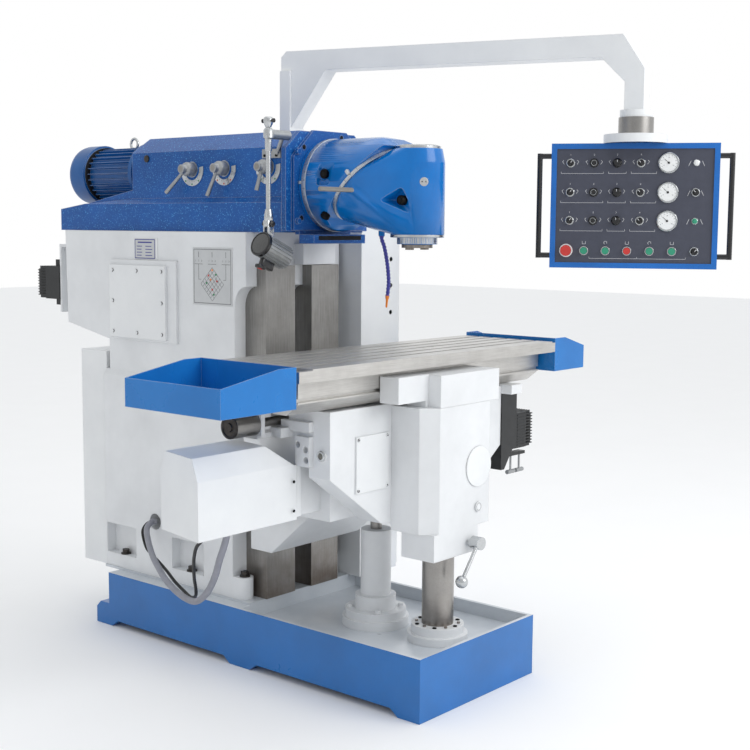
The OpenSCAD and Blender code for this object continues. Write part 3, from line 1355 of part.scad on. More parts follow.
// Everything on the panel is drawn in panel coordinates: X across its face, -Y out of it
module at_panel() {
    translate([post_x, post_y, 0]) rotate(arm_turn) translate([0, -arm_reach, 0]) rotate(panel_turn - arm_turn) children();
}
function panel_x(share) = (share - 0.5) * panel_w;
function panel_z(share) = panel_z1 - share * panel_h;
face_y = panel_recess - panel_front;
back_y = panel_d - panel_front;
grip_y = -panel_front / 2;
module control_panel() {
    half = panel_w / 2;
    grip = panel_h * handle_span_share / 2;
    mid_z = (panel_z0 + panel_z1) / 2;
    at_panel() {
        color("RoyalBlue") difference() {
            block([-half, -panel_front, panel_z0], [half, back_y, panel_z1]);
            block([panel_frame - half, -panel_front - over, panel_z0 + panel_frame],
                [half - panel_frame, face_y, panel_z1 - panel_frame]);
            block([panel_frame - half, face_y + arm_wall, panel_z0 + panel_frame],
                [half - panel_frame, back_y - arm_wall, panel_z1 - panel_frame]);
            for (s = button_shares) rod_y([panel_x(s), face_y - over, panel_z(button_row_share)],
                button_shaft_r + run_gap, arm_wall + over * 2, fn_low);
            rod_y([panel_x(stop_share), face_y - over, panel_z(button_row_share)], button_shaft_r + run_gap,
                arm_wall + over * 2, fn_low);
        }
        color("White") {
            rod_z([0, 0, panel_z1], turret_disc_r, turret_disc_h, fn_mid);
            rod_z([0, 0, panel_z1 + turret_disc_h - over], turret_r,
                drop_z - turret_ring_h - gap - panel_z1 - turret_disc_h + over, fn_mid);
            rod_z([0, 0, panel_z1 + turret_disc_h], turret_pin_r,
                drop_z - turret_ring_h - panel_z1 - turret_disc_h + turret_pin_h, fn_mid);
        }
        color("Black") for (s = [-1, 1]) {
            for (z = [mid_z - grip, mid_z + grip])
                rod_x([s > 0 ? half - over : -half - handle_out, grip_y, z], handle_tube_r, handle_out + over, fn_low);
            rod_z([s * (half + handle_out), grip_y, mid_z - grip - handle_tube_r], handle_tube_r, grip * 2 + handle_tube_r * 2, fn_low);
        }
    }
}
module knob(x, z) {
    rod_y([x, face_y - knob_collar_h, z], knob_collar_r, knob_collar_h, fn_low);
    rod_y([x, face_y - knob_h, z], knob_r, knob_h, fn_low);
}
module panel_dials() {
    at_panel() {
        color("Black") {
            for (r = row_shares) for (c = [0:3]) knob(panel_x(col_shares[c]), panel_z(r));
            knob(panel_x(col_shares[5]), panel_z(row_shares[1]));
            knob(panel_x(switch_share), panel_z(button_row_share));
        }
        color("White") {
            for (r = row_shares) rod_y([panel_x(col_shares[4]), face_y - gauge_h, panel_z(r)], gauge_r, gauge_h, fn_mid);
            for (r = [row_shares[0], row_shares[2]])
                rod_y([panel_x(col_shares[5]), face_y - knob_collar_h, panel_z(r)], knob_r, knob_collar_h, fn_low);
        }
    }
}
module push_button(share, r, h) {
    at_panel() {
        rod_y([panel_x(share), face_y - button_travel - gap - h, panel_z(button_row_share)], r, h, fn_low);
        rod_y([panel_x(share), face_y - button_travel - gap * 2, panel_z(button_row_share)], button_shaft_r,
            button_travel + arm_wall, fn_low);
    }
}
module emergency_stop() { color("Red") push_button(stop_share, stop_r, stop_h); }
module button_1() { color("Green") push_button(button_shares[0], button_r, button_h); }
module button_2() { color("Green") push_button(button_shares[1], button_r, button_h); }
module button_3() { color("Red") push_button(button_shares[2], button_r, button_h); }
module button_4() { color("Green") push_button(button_shares[3], button_r, button_h); }
module button_5() { color("Green") push_button(button_shares[4], button_r, button_h); }

base_tray();
hold_down_bolts();
column();
column_ways();
side_covers();
rear_cabinet();
electrical_cabinet();
cabinet_door();
lift_tube();
support_column();
ram_drive_bracket();
ram_feed_motor();
ram_screw();
pendant_post();
knee();
knee_gearbox();
gearbox_cover();
knee_covers();
drive_hood();
feed_motor();
lift_motor();
x_screw();
z_screw();
knee_lever();
clamp_handle_outer();
clamp_handle_inner();
motor_conduit();
motor_cable();
table();
tray_left();
tray_right();
ram();
gear_housing();
main_motor();
speed_lever_rear();
speed_lever_middle();
speed_lever_front();
speed_dials();
front_flange();
lamp_bracket();
lamp_arm();
lamp_head();
swivel_housing();
housing_scale();
milling_head();
head_scale();
head_cap();
spindle();
spindle_bearings();
coolant_hose();
pendant_arm();
control_panel();
panel_dials();
emergency_stop();
button_1();
button_2();
button_3();
button_4();
button_5();
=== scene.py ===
# %% [markdown]
# # A universal milling machine
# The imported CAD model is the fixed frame: its nodes are in place and in scale, one empty per moving
# body. Everything below gives those nodes rounded edges and real finishes, and adds the small parts
# that a CAD solid leaves out. All new shapes are drawn in millimetres and scaled once at the end.

# %% Load the frame
import math

import bmesh
import bpy
from mathutils import Matrix, Vector


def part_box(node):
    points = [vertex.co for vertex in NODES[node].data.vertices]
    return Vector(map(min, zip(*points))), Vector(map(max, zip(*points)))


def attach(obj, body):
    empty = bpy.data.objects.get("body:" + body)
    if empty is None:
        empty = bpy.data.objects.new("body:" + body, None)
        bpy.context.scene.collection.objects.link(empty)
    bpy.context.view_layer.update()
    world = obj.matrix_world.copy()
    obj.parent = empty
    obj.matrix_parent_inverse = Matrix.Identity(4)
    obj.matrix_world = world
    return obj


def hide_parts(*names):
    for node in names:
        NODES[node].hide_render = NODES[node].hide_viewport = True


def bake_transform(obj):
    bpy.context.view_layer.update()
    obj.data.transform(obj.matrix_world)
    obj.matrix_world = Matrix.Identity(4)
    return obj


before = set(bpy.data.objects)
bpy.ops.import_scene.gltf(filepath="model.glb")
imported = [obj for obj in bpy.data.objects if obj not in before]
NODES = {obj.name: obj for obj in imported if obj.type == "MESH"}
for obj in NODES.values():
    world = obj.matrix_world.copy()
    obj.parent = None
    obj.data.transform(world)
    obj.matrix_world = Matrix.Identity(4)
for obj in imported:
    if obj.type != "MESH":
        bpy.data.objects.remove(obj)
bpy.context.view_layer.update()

# %% [markdown]
# ## Camera
# The camera was solved from the photograph: about 50 degrees to the left of the front, 6.6 degrees
# above level, 5.8 m away. The lens is given for the 36 mm sensor and a square picture.

# %% Camera
PHOTO_SIDE = 750            # pixels
FOCAL_LENGTH = 1290.47      # in pixels of the photograph
SENSOR = 36                 # millimetres
CAMERA_PLACE = (-4.194, -3.940, 1.923)
AZIMUTH, PITCH, ROLL = (math.radians(a) for a in (-49.699, 6.56, 0.412))
right = Vector((math.cos(AZIMUTH), math.sin(AZIMUTH), 0))
back = Vector((math.sin(AZIMUTH) * math.cos(PITCH), -math.cos(AZIMUTH) * math.cos(PITCH),
               math.sin(PITCH)))
up = back.cross(right)
right, up = (right * math.cos(ROLL) + up * math.sin(ROLL),
             up * math.cos(ROLL) - right * math.sin(ROLL))
camera = bpy.data.objects.new("camera", bpy.data.cameras.new("camera"))
bpy.context.scene.collection.objects.link(camera)
camera_turn = Matrix((right, up, back)).transposed().to_4x4()
camera.matrix_world = Matrix.Translation(CAMERA_PLACE) @ camera_turn
camera.data.lens = SENSOR * FOCAL_LENGTH / PHOTO_SIDE
bpy.context.scene.camera = camera
print("camera lens", round(camera.data.lens, 2), "mm")

# %% [markdown]
# ## Finishes
# Colours are picked as sRGB hex codes and turned to the linear values that a shader wants. One small
# function adds a node, sets its sockets or settings and makes its links, so that each finish below
# reads as a short list. Lengths in patterns are real ones: a scale of 1000 / d puts one cell of a
# noise every d millimetres, because Object coordinates are metres. A Mix node has sockets of the same
# name for numbers and for colours, so those for colours are found by their place in the list.

# %% Helpers for finishes
FACTOR, A, B, MIXED = 0, 6, 7, 2        # the sockets of a Mix node that mixes colours
WHITE = (1, 1, 1, 1)


def rgb(code):
    """An sRGB hex colour as linear RGBA."""
    parts = [int(code[i:i + 2], 16) / 255 for i in (1, 3, 5)]
    return tuple(c / 12.92 if c <= 0.04045 else ((c + 0.055) / 1.055) ** 2.4 for c in parts) + (1.0,)


def add(tree, kind, settings=None, links=None):
    """One shader node with its settings and links. An integer key is a socket's place in the list."""
    node = tree.nodes.new("ShaderNode" + kind)
    for key, value in (settings or {}).items():
        if isinstance(key, str) and hasattr(node, key) and key not in node.inputs:
            setattr(node, key, value)
        else:
            node.inputs[key].default_value = value
    for key, source in (links or {}).items():
        tree.links.new(source, node.inputs[key])
    return node


def new_finish(name):
    """An empty material with its output, and Object coordinates for its patterns."""
    material = bpy.data.materials.new(name)
    material.use_nodes = True
    tree = material.node_tree
    tree.nodes.clear()
    place = add(tree, "TexCoord").outputs["Object"]
    return material, tree, place


def close(tree, settings, links):
    """The surface shader at the end of a finish."""
    shader = add(tree, "BsdfPrincipled", settings, links)
    add(tree, "OutputMaterial", {}, {"Surface": shader.outputs[0]})


def mm(size):
    """The scale of a pattern whose cells are size millimetres apart."""
    return 1000.0 / size


# %% [markdown]
# ### Sprayed enamel
# Machine castings are filled, sanded and sprayed. The eye sees three things: the orange peel of the
# paint (3 to 5 mm across), a slow waviness of the filler (50 to 200 mm), and edges that catch the light.
# They could be painted on an image; noises in real sizes need none. The Bevel node finds the edges,
# rounds their shading and gives the mask for a painted highlight: a rim mixed towards white. The ram
# has a hammered paint, whose lighter flecks are the peaks of one more noise.

# %% Enamel
DIRT = 260      # millimetres from one patch of another tone to the next


def enamel(name, colour, shade, rough, peel=3.0, peel_height=0.25, wave=80, wave_height=2.0, flecks=None,
           edge=4.0, edge_highlight=0.35, coat=0.25):
    """Sprayed paint. flecks is a colour and a size; all lengths are millimetres."""
    material, tree, place = new_finish(name)
    peel_noise = add(tree, "TexNoise", {"Scale": mm(peel), "Detail": 3.0, "Roughness": 0.55},
                     {"Vector": place})
    wave_noise = add(tree, "TexNoise", {"Scale": mm(wave), "Detail": 2.0}, {"Vector": place})
    dirt_noise = add(tree, "TexNoise", {"Scale": mm(DIRT), "Detail": 4.0, "Roughness": 0.6},
                     {"Vector": place})
    spread = add(tree, "MapRange", {"From Min": 0.35, "From Max": 0.72, "To Min": 0.0, "To Max": 1.0},
                 {"Value": dirt_noise.outputs["Fac"]})
    tone = add(tree, "Mix", {"data_type": "RGBA", A: rgb(colour), B: rgb(shade)},
               {FACTOR: spread.outputs[0]})
    paint = tone.outputs[MIXED]
    if flecks:
        fleck_colour, fleck_size = flecks
        grains = add(tree, "TexNoise", {"Scale": mm(fleck_size), "Detail": 1.0}, {"Vector": place})
        peaks = add(tree, "MapRange", {"From Min": 0.60, "From Max": 0.76}, {"Value": grains.outputs["Fac"]})
        paint = add(tree, "Mix", {"data_type": "RGBA", B: rgb(fleck_colour)},
                    {FACTOR: peaks.outputs[0], A: paint}).outputs[MIXED]
    bevel = add(tree, "Bevel", {"samples": 4, "Radius": edge / 1000})
    real = add(tree, "NewGeometry").outputs["Normal"]
    turn = add(tree, "VectorMath", {"operation": "DOT_PRODUCT"}, {0: bevel.outputs[0], 1: real})
    # The rim is a painted highlight: where an edge rounds off, the paint is mixed towards white.
    rim = add(tree, "MapRange", {"From Min": 0.995, "From Max": 0.80, "To Min": 0.0, "To Max": edge_highlight},
              {"Value": turn.outputs["Value"]})
    lit = add(tree, "Mix", {"data_type": "RGBA", B: WHITE}, {FACTOR: rim.outputs[0], A: paint})
    hills = add(tree, "Bump", {"Strength": 0.5, "Distance": wave_height / 1000},
                {"Height": wave_noise.outputs["Fac"], "Normal": bevel.outputs[0]})
    skin = add(tree, "Bump", {"Strength": 0.5, "Distance": peel_height / 1000},
               {"Height": peel_noise.outputs["Fac"], "Normal": hills.outputs[0]})
    gloss = add(tree, "MapRange", {"To Min": rough * 0.8, "To Max": min(1.0, rough * 1.35)},
                {"Value": dirt_noise.outputs["Fac"]})
    close(tree, {"IOR": 1.5, "Specular IOR Level": 0.3, "Coat Weight": coat * 0.6, "Coat Roughness": 0.12},
          {"Base Color": lit.outputs[MIXED], "Roughness": gloss.outputs[0], "Normal": skin.outputs[0]})
    return material


RAM_BLUE = enamel("hammered_blue_enamel", "#0054A2", "#00488E", 0.34, peel=5.0, peel_height=0.9, wave=60,
                  flecks=("#4D9AD8", 6.0), edge=5, edge_highlight=0.30)
HEAD_BLUE = enamel("gloss_head_enamel", "#0074C6", "#0065B0", 0.20, peel=4.0, peel_height=0.12, wave=120,
                   edge=7, edge_highlight=0.22, coat=0.5)
TRAY_BLUE = enamel("tray_enamel", "#1B78C4", "#176DB6", 0.26, peel=3.0, peel_height=0.08, wave=150, edge=3,
                   edge_highlight=0.25, coat=0.4)
MOTOR_BLUE = enamel("motor_enamel", "#0A5A9E", "#064B88", 0.36, peel=3.0, peel_height=0.3, wave=50, edge=2.5)
WHITE_CAST = enamel("casting_white_enamel", "#E4E6E8", "#D9DBDD", 0.36, peel=4.0, peel_height=0.2, wave=90,
                    wave_height=3.0, edge=6, edge_highlight=0.45)
WHITE_SHEET = enamel("sheet_white_enamel", "#E8EAEB", "#E0E2E4", 0.30, peel=3.0, peel_height=0.06, wave=200,
                     wave_height=1.0, edge=4, edge_highlight=0.40)
print("enamels made")

# %% [markdown]
# ### The base: two paints on one casting
# The outside of the base is blue, its pan and the deck under the column are pale grey. The casting is
# one solid, so two materials would need its faces sorted. Here one mask decides instead: a point that
# looks up, or lies inside the walls of the pan, is grey.

# %% Base paint
PAN_HALF_WIDTH, PAN_FRONT, PAN_FLOOR = 0.3775, -0.9395, 0.2022      # metres, from the base's own frame
DECK = 0.15                 # upward faces above this height are grey
UPRIGHT = 0.7               # a normal steeper than this looks up


def base_paint():
    material, tree, place = new_finish("base_two_tone_enamel")
    xyz = add(tree, "SeparateXYZ", {}, {"Vector": place})
    facing = add(tree, "SeparateXYZ", {}, {"Vector": add(tree, "NewGeometry").outputs["True Normal"]})
    side = add(tree, "Math", {"operation": "ABSOLUTE"}, {0: xyz.outputs["X"]})
    within = [add(tree, "Math", {"operation": "LESS_THAN", 1: PAN_HALF_WIDTH}, {0: side.outputs[0]}),
              add(tree, "Math", {"operation": "GREATER_THAN", 1: PAN_FRONT}, {0: xyz.outputs["Y"]}),
              add(tree, "Math", {"operation": "GREATER_THAN", 1: PAN_FLOOR}, {0: xyz.outputs["Z"]})]
    inside = add(tree, "Math", {"operation": "MULTIPLY"}, {0: within[0].outputs[0], 1: within[1].outputs[0]})
    inside = add(tree, "Math", {"operation": "MULTIPLY"}, {0: inside.outputs[0], 1: within[2].outputs[0]})
    upward = add(tree, "Math", {"operation": "GREATER_THAN", 1: UPRIGHT}, {0: facing.outputs["Z"]})
    high = add(tree, "Math", {"operation": "GREATER_THAN", 1: DECK}, {0: xyz.outputs["Z"]})
    upward = add(tree, "Math", {"operation": "MULTIPLY"}, {0: upward.outputs[0], 1: high.outputs[0]})
    grey = add(tree, "Math", {"operation": "MAXIMUM"}, {0: inside.outputs[0], 1: upward.outputs[0]})
    patch = add(tree, "TexNoise", {"Scale": mm(300), "Detail": 5.0, "Roughness": 0.6}, {"Vector": place})
    blot = add(tree, "MapRange", {"From Min": 0.35, "From Max": 0.7}, {"Value": patch.outputs["Fac"]})
    blue, pale = (add(tree, "Mix", {"data_type": "RGBA", A: rgb(tone), B: rgb(shade)},
                      {FACTOR: blot.outputs[0]})
                  for tone, shade in (("#0C6CB8", "#0862A8"), ("#D3D8DD", "#BFC6CE")))
    both = add(tree, "Mix", {"data_type": "RGBA"},
               {FACTOR: grey.outputs[0], A: blue.outputs[MIXED], B: pale.outputs[MIXED]})
    bevel = add(tree, "Bevel", {"samples": 4, "Radius": 0.004})
    peel = add(tree, "TexNoise", {"Scale": mm(4), "Detail": 3.0}, {"Vector": place})
    skin = add(tree, "Bump", {"Strength": 0.4, "Distance": 0.0002},
               {"Height": peel.outputs["Fac"], "Normal": bevel.outputs[0]})
    gloss = add(tree, "MapRange", {"To Min": 0.22, "To Max": 0.38}, {"Value": patch.outputs["Fac"]})
    close(tree, {"IOR": 1.5, "Coat Weight": 0.3, "Coat Roughness": 0.1},
          {"Base Color": both.outputs[MIXED], "Roughness": gloss.outputs[0], "Normal": skin.outputs[0]})
    return material


BASE_PAINT = base_paint()

# %% [markdown]
# ### Bare metal
# Ground and turned steel get their look from very fine parallel marks. They are drawn about ten times
# coarser than real ones, or they would vanish at this distance. The marks are a noise stretched along
# the direction of the cut; slow blotches of oil and wear lie over them.

# %% Metals
def bare_metal(name, colour, shade, rough, marks=(1, 1, 1), mark_mm=2.0, depth=0.04, blot=120,
               blot_amount=1.0, rust=None):
    """marks stretches the pattern: a small number along an axis draws lines along that axis. rust is a
    colour, the height in metres below which it is full, and the height above which there is none."""
    material, tree, place = new_finish(name)
    stretched = add(tree, "Mapping", {"Scale": marks}, {"Vector": place})
    lines = add(tree, "TexNoise", {"Scale": mm(mark_mm), "Detail": 3.0, "Roughness": 0.6},
                {"Vector": stretched.outputs[0]})
    blots = add(tree, "TexNoise", {"Scale": mm(blot), "Detail": 5.0, "Roughness": 0.62}, {"Vector": place})
    mix = add(tree, "Math", {"operation": "MULTIPLY_ADD", 1: 0.55, 2: 0.22}, {0: lines.outputs["Fac"]})
    mix = add(tree, "Math", {"operation": "MULTIPLY_ADD", 1: 0.5 * blot_amount},
              {0: blots.outputs["Fac"], 2: mix.outputs[0]})
    spread = add(tree, "MapRange", {"From Min": 0.5, "From Max": 1.0}, {"Value": mix.outputs[0]})
    tone = add(tree, "Mix", {"data_type": "RGBA", A: rgb(colour), B: rgb(shade)}, {FACTOR: spread.outputs[0]})
    metal = tone.outputs[MIXED]
    if rust:
        rust_colour, full_below, none_above = rust
        height = add(tree, "SeparateXYZ", {}, {"Vector": place}).outputs["Z"]
        low = add(tree, "MapRange",
                  {"From Min": none_above, "From Max": full_below, "To Min": 0.0, "To Max": 0.8},
                  {"Value": height})
        ragged = add(tree, "Math", {"operation": "MULTIPLY"}, {0: low.outputs[0], 1: blots.outputs["Fac"]})
        metal = add(tree, "Mix", {"data_type": "RGBA", B: rgb(rust_colour)},
                    {FACTOR: ragged.outputs[0], A: metal}).outputs[MIXED]
    gloss = add(tree, "MapRange", {"To Min": rough * 0.7, "To Max": rough * 1.4}, {"Value": mix.outputs[0]})
    bevel = add(tree, "Bevel", {"samples": 4, "Radius": 0.0015})
    scratch = add(tree, "Bump", {"Strength": 0.6, "Distance": depth / 1000},
                  {"Height": lines.outputs["Fac"], "Normal": bevel.outputs[0]})
    close(tree, {"Metallic": 1.0},
          {"Base Color": metal, "Roughness": gloss.outputs[0], "Normal": scratch.outputs[0]})
    return material


TABLE_STEEL = bare_metal("ground_table_steel", "#DCDAD6", "#B4B1AD", 0.34, (0.02, 1, 1), 3.0)
WAY_STEEL = bare_metal("ground_way_steel", "#A9A7A4", "#7E7C79", 0.36, (1, 1, 0.03), 4.0,
                       rust=("#6B5138", 0.30, 0.50))
COLUMN_STEEL = bare_metal("ground_support_steel", "#B4B1AD", "#8A8784", 0.26, (0.5, 0.5, 1), 1.5,
                          rust=("#5E4B3C", 0.27, 0.42))
TURNED_STEEL = bare_metal("turned_steel", "#A8A6A3", "#827F7C", 0.30, (1, 1, 1), 2.0)
NOSE_STEEL = bare_metal("ground_nose_steel", "#A39C95", "#6F6862", 0.30, (1, 1, 0.1), 5.0, blot=60)
DARK_STEEL = bare_metal("oiled_dark_steel", "#5A5653", "#3A3735", 0.38, (1, 1, 1), 3.0, blot=30)
CHROME = bare_metal("satin_chrome_plate", "#C9CBCC", "#AFB2B4", 0.20, (1, 1, 1), 3.0, depth=0.01, blot=40,
                    blot_amount=0.5)
CAST_ALUMINIUM = bare_metal("cast_aluminium", "#B5B7B8", "#96989A", 0.42, (1, 1, 1), 1.5, depth=0.12, blot=30)
SCALE_ALUMINIUM = bare_metal("scale_aluminium", "#D5D8DA", "#C3C7CA", 0.36, (1, 1, 1), 3.0, depth=0.01,
                             blot=60)
BLACK_OXIDE = bare_metal("black_oxide_steel", "#2B2A29", "#171615", 0.42, (1, 1, 1), 2.0, blot=20)
print("metals made")

# %% [markdown]
# ### Plastics, rubber and print
# Moulded parts have one colour right through and a fine spark-eroded grain. Printed signs are a flat
# ink: here thin raised strips carry it, so that they keep their place in every view.

# %% Plastics and prints
def moulded(name, colour, shade, rough, grain=0.8, depth=0.03, coat=0.0):
    material, tree, place = new_finish(name)
    grains = add(tree, "TexNoise", {"Scale": mm(grain), "Detail": 2.0}, {"Vector": place})
    cloud = add(tree, "TexNoise", {"Scale": mm(40), "Detail": 3.0}, {"Vector": place})
    tone = add(tree, "Mix", {"data_type": "RGBA", A: rgb(colour), B: rgb(shade)},
               {FACTOR: cloud.outputs["Fac"]})
    gloss = add(tree, "MapRange", {"To Min": rough * 0.8, "To Max": rough * 1.3},
                {"Value": cloud.outputs["Fac"]})
    skin = add(tree, "Bump", {"Strength": 0.5, "Distance": depth / 1000}, {"Height": grains.outputs["Fac"]})
    close(tree, {"IOR": 1.49, "Coat Weight": coat, "Coat Roughness": 0.08},
          {"Base Color": tone.outputs[MIXED], "Roughness": gloss.outputs[0], "Normal": skin.outputs[0]})
    return material


PANEL_FACE = moulded("anodised_slate_face", "#4A4D5B", "#3E414E", 0.42, grain=1.2, depth=0.05)
BLACK_PLASTIC = moulded("black_phenolic", "#1B1B1D", "#101012", 0.26, coat=0.3)
RUBBER = moulded("black_rubber", "#171718", "#0F0F10", 0.55)
SERVO_BLACK = moulded("servo_black_enamel", "#222426", "#141516", 0.34, grain=2.0, depth=0.08)
RED_CAP = moulded("red_button_plastic", "#D2362F", "#BE2C27", 0.22, coat=0.4)
GREEN_CAP = moulded("green_button_plastic", "#2C9C78", "#24866A", 0.24, coat=0.4)
DIAL_WHITE = moulded("meter_dial_white", "#F1F2F1", "#E8EAEA", 0.35, coat=0.6)
PRINT_WHITE = moulded("white_ink", "#D9DADC", "#CFD0D3", 0.5)
PRINT_GREEN = moulded("green_ink", "#2E8B57", "#277A4C", 0.5)
PRINT_RED = moulded("red_ink", "#C5392F", "#B23229", 0.5)
PRINT_BLUE = moulded("blue_ink", "#3B3F94", "#323684", 0.5)
PRINT_DARK = moulded("dark_ink", "#4A4B50", "#3F4045", 0.5)
PLATE_SILVER = moulded("printed_plate", "#C9CBCC", "#BDBFC1", 0.4)
HOSE_VIOLET = moulded("violet_hose_plastic", "#3B3C9C", "#31328A", 0.3, coat=0.2)
NOZZLE_ORANGE = moulded("orange_nozzle_plastic", "#EE8A2C", "#DE7C22", 0.32)
CONDUIT_GREY = moulded("grey_conduit_plastic", "#9B9CA6", "#84868F", 0.38)
# Not a plastic: a near-black finish of painted shade for the insides of holes, sockets, gaps and slots.
PAINTED_HOLE_SHADE = moulded("shadowed_hole", "#0C0C0D", "#080809", 0.8)
ROCKER_RED = moulded("red_rocker", "#D0352E", "#B82C27", 0.3)
print("plastics and inks made")

# %% [markdown]
# ### Glass
# Oil sights and the lamp's lens are panes with something dark behind them. Clear glass would show a
# hollow that isn't modelled, so the pane is drawn as a dark glossy body. A film of dirt breaks its gloss.

# %% Glass
FILM_DIRT = "#3A3A38"


def glass(name, tint, rough=0.03):
    material, tree, place = new_finish(name)
    film = add(tree, "TexNoise", {"Scale": mm(12), "Detail": 3.0}, {"Vector": place})
    gloss = add(tree, "MapRange", {"To Min": rough, "To Max": rough + 0.08}, {"Value": film.outputs["Fac"]})
    tone = add(tree, "Mix", {"data_type": "RGBA", A: rgb(tint), B: rgb(FILM_DIRT)},
               {FACTOR: film.outputs["Fac"]})
    close(tree, {"IOR": 1.5, "Coat Weight": 1.0, "Coat Roughness": 0.03},
          {"Base Color": tone.outputs[MIXED], "Roughness": gloss.outputs[0]})
    return material


SIGHT_GLASS = glass("oil_sight_glass", "#6E6A5C")
LENS = glass("dark_lamp_lens", "#1E1F20")
print("finishes made:", len(bpy.data.materials))

# %% [markdown]
# ## Shapes
# A bmesh collects a piece in millimetres. Its vertices and faces could be written out one by one; an
# operator says in one call what shape is meant. So the helpers are thin wraps of operators: a block comes
# from create_cube and a bar from create_cone. Real parts have no knife edges, so both can be rounded.

# %% Blocks and bars
def round_off(bm, edges, radius, segments=2):
    """Bevels edges to a radius."""
    bmesh.ops.bevel(bm, geom=list(edges), offset=radius, segments=segments, affect="EDGES", profile=0.5,
                    material=-1, clamp_overlap=True)


def block(bm, lo, hi, edge=0.0, turn=None):
    """A box between two corners, with bevelled edges, turned by a matrix at the end."""
    lo, hi = Vector(lo), Vector(hi)
    size = Matrix.Diagonal((*(hi - lo), 1.0))
    made = bmesh.ops.create_cube(bm, size=1.0, matrix=Matrix.Translation((lo + hi) / 2) @ size)
    verts = made["verts"]
    if edge:
        others = set(bm.verts) - set(verts)
        round_off(bm, {e for v in verts for e in v.link_edges}, edge)
        verts = [v for v in bm.verts if v not in others]
    if turn is not None:
        bmesh.ops.transform(bm, matrix=turn, verts=verts)


def bar(bm, start, end, r, r_end=None, sides=32, edge=0.0):
    """A round bar between two points, a cone where r_end is given."""
    a, b = Vector(start), Vector(end)
    turn = (b - a).to_track_quat("Z", "Y").to_matrix().to_4x4()
    made = bmesh.ops.create_cone(bm, cap_ends=True, segments=sides, radius1=r,
                                 radius2=r if r_end is None else r_end, depth=(b - a).length,
                                 matrix=Matrix.Translation((a + b) / 2) @ turn)
    if edge:
        rims = {e for v in made["verts"] for e in v.link_edges if any(len(f.verts) > 4 for f in e.link_faces)}
        round_off(bm, rims, edge)


print("blocks and bars ready")

# %% [markdown]
# Most small parts of a machine come from a lathe or from sheet. A turned part is half its outline, spun
# once round the axis; where the outline starts on the axis, the spin leaves many vertices in one place,
# and these are merged to a pole. A slab is one flat face, extruded.

# %% Turned parts and slabs
POLE = 0.01         # millimetres: vertices this near to the axis of a turned part are one pole


def turned(bm, centre, axis, outline, steps):
    """A part from the lathe: outline holds (radius, place along the axis) pairs."""
    c, w = Vector(centre), Vector(axis).normalized()
    u = w.orthogonal().normalized()
    verts = [bm.verts.new(c + u * r + w * h) for r, h in outline]
    edges = [bm.edges.new(pair) for pair in zip(verts, verts[1:])]
    bmesh.ops.spin(bm, geom=verts + edges, cent=c, axis=w, angle=math.tau, steps=steps, use_merge=True)
    near = [v for v in bm.verts if (v.co - c - w * (v.co - c).dot(w)).length < POLE]
    bmesh.ops.remove_doubles(bm, verts=near, dist=POLE)


def slab(bm, outline, depth):
    """A flat outline of 3-D points, drawn out by the vector depth."""
    face = bm.faces.new([bm.verts.new(p) for p in outline])
    made = bmesh.ops.extrude_face_region(bm, geom=[face])
    top = [g for g in made["geom"] if isinstance(g, bmesh.types.BMVert)]
    bmesh.ops.translate(bm, vec=Vector(depth), verts=top)


print("turned parts and slabs ready")

# %% [markdown]
# ### Paths and tubes
# A hose or a cord follows a smooth curve through a few given points. A bevelled curve object
# could draw it, but here its rings are also needed for the cord's measures, so they are worked out and
# then joined as circles.

# %% Paths and tubes
def smooth_path(points, step):
    """Points every step millimetres on one smooth curve through the given points, and its length."""
    p = [Vector(q) for q in points]
    p = [p[0] * 2 - p[1]] + p + [p[-1] * 2 - p[-2]]
    dense = []
    for a, b, c, d in zip(p, p[1:], p[2:], p[3:]):
        n = max(2, int((c - b).length / 2))
        for i in range(n):
            t = i / n
            dense.append(((2 * b) + (c - a) * t + (2 * a - 5 * b + 4 * c - d) * t * t
                          + (3 * b - a - 3 * c + d) * t ** 3) / 2)
    dense.append(p[-2])
    lengths = [0.0]
    for a, b in zip(dense, dense[1:]):
        lengths.append(lengths[-1] + (b - a).length)
    count = max(2, round(lengths[-1] / step))
    out, k = [], 0
    for i in range(count + 1):
        want = lengths[-1] * i / count
        while k < len(dense) - 2 and lengths[k + 1] < want:
            k += 1
        part = (want - lengths[k]) / max(lengths[k + 1] - lengths[k], 1e-9)
        out.append(dense[k].lerp(dense[k + 1], min(1.0, part)))
    return out, lengths[-1]


def tube(bm, path, radii, sides):
    """Circles along a path, one radius each, joined by bridge_loops, with capped ends."""
    first = last = side = None
    for i, (point, r) in enumerate(zip(path, radii)):
        ahead = (path[min(i + 1, len(path) - 1)] - path[max(i - 1, 0)]).normalized()
        side = side - ahead * side.dot(ahead) if side else ahead.orthogonal()
        side.normalize()
        turn = Matrix((side, ahead.cross(side), ahead)).transposed().to_4x4()
        place = Matrix.Translation(point) @ turn
        ring = bmesh.ops.create_circle(bm, segments=sides, radius=r, matrix=place)["verts"]
        edges = list({e for v in ring for e in v.link_edges})
        if last:
            bmesh.ops.bridge_loops(bm, edges=last + edges)
        else:
            first = edges
        last = edges
    bmesh.ops.contextual_create(bm, geom=first)
    bmesh.ops.contextual_create(bm, geom=last)


print("paths and tubes ready")

# %% [markdown]
# ### Marking and closing a piece
# A piece of several finishes is drawn part by part, and after each part its faces are marked. A face
# layer remembers which faces have their finish; face.tag would be shorter, but bevel resets it.

# %% Marking and closing
WELD = 0.002                # millimetres: vertices nearer than this become one
TO_METRES = Vector((0.001, 0.001, 0.001))


def mark(bm, index):
    """Gives the faces made since the last call their finish."""
    done = bm.faces.layers.int.get("done") or bm.faces.layers.int.new("done")
    for face in bm.faces:
        if not face[done]:
            face.material_index = index
            face[done] = 1


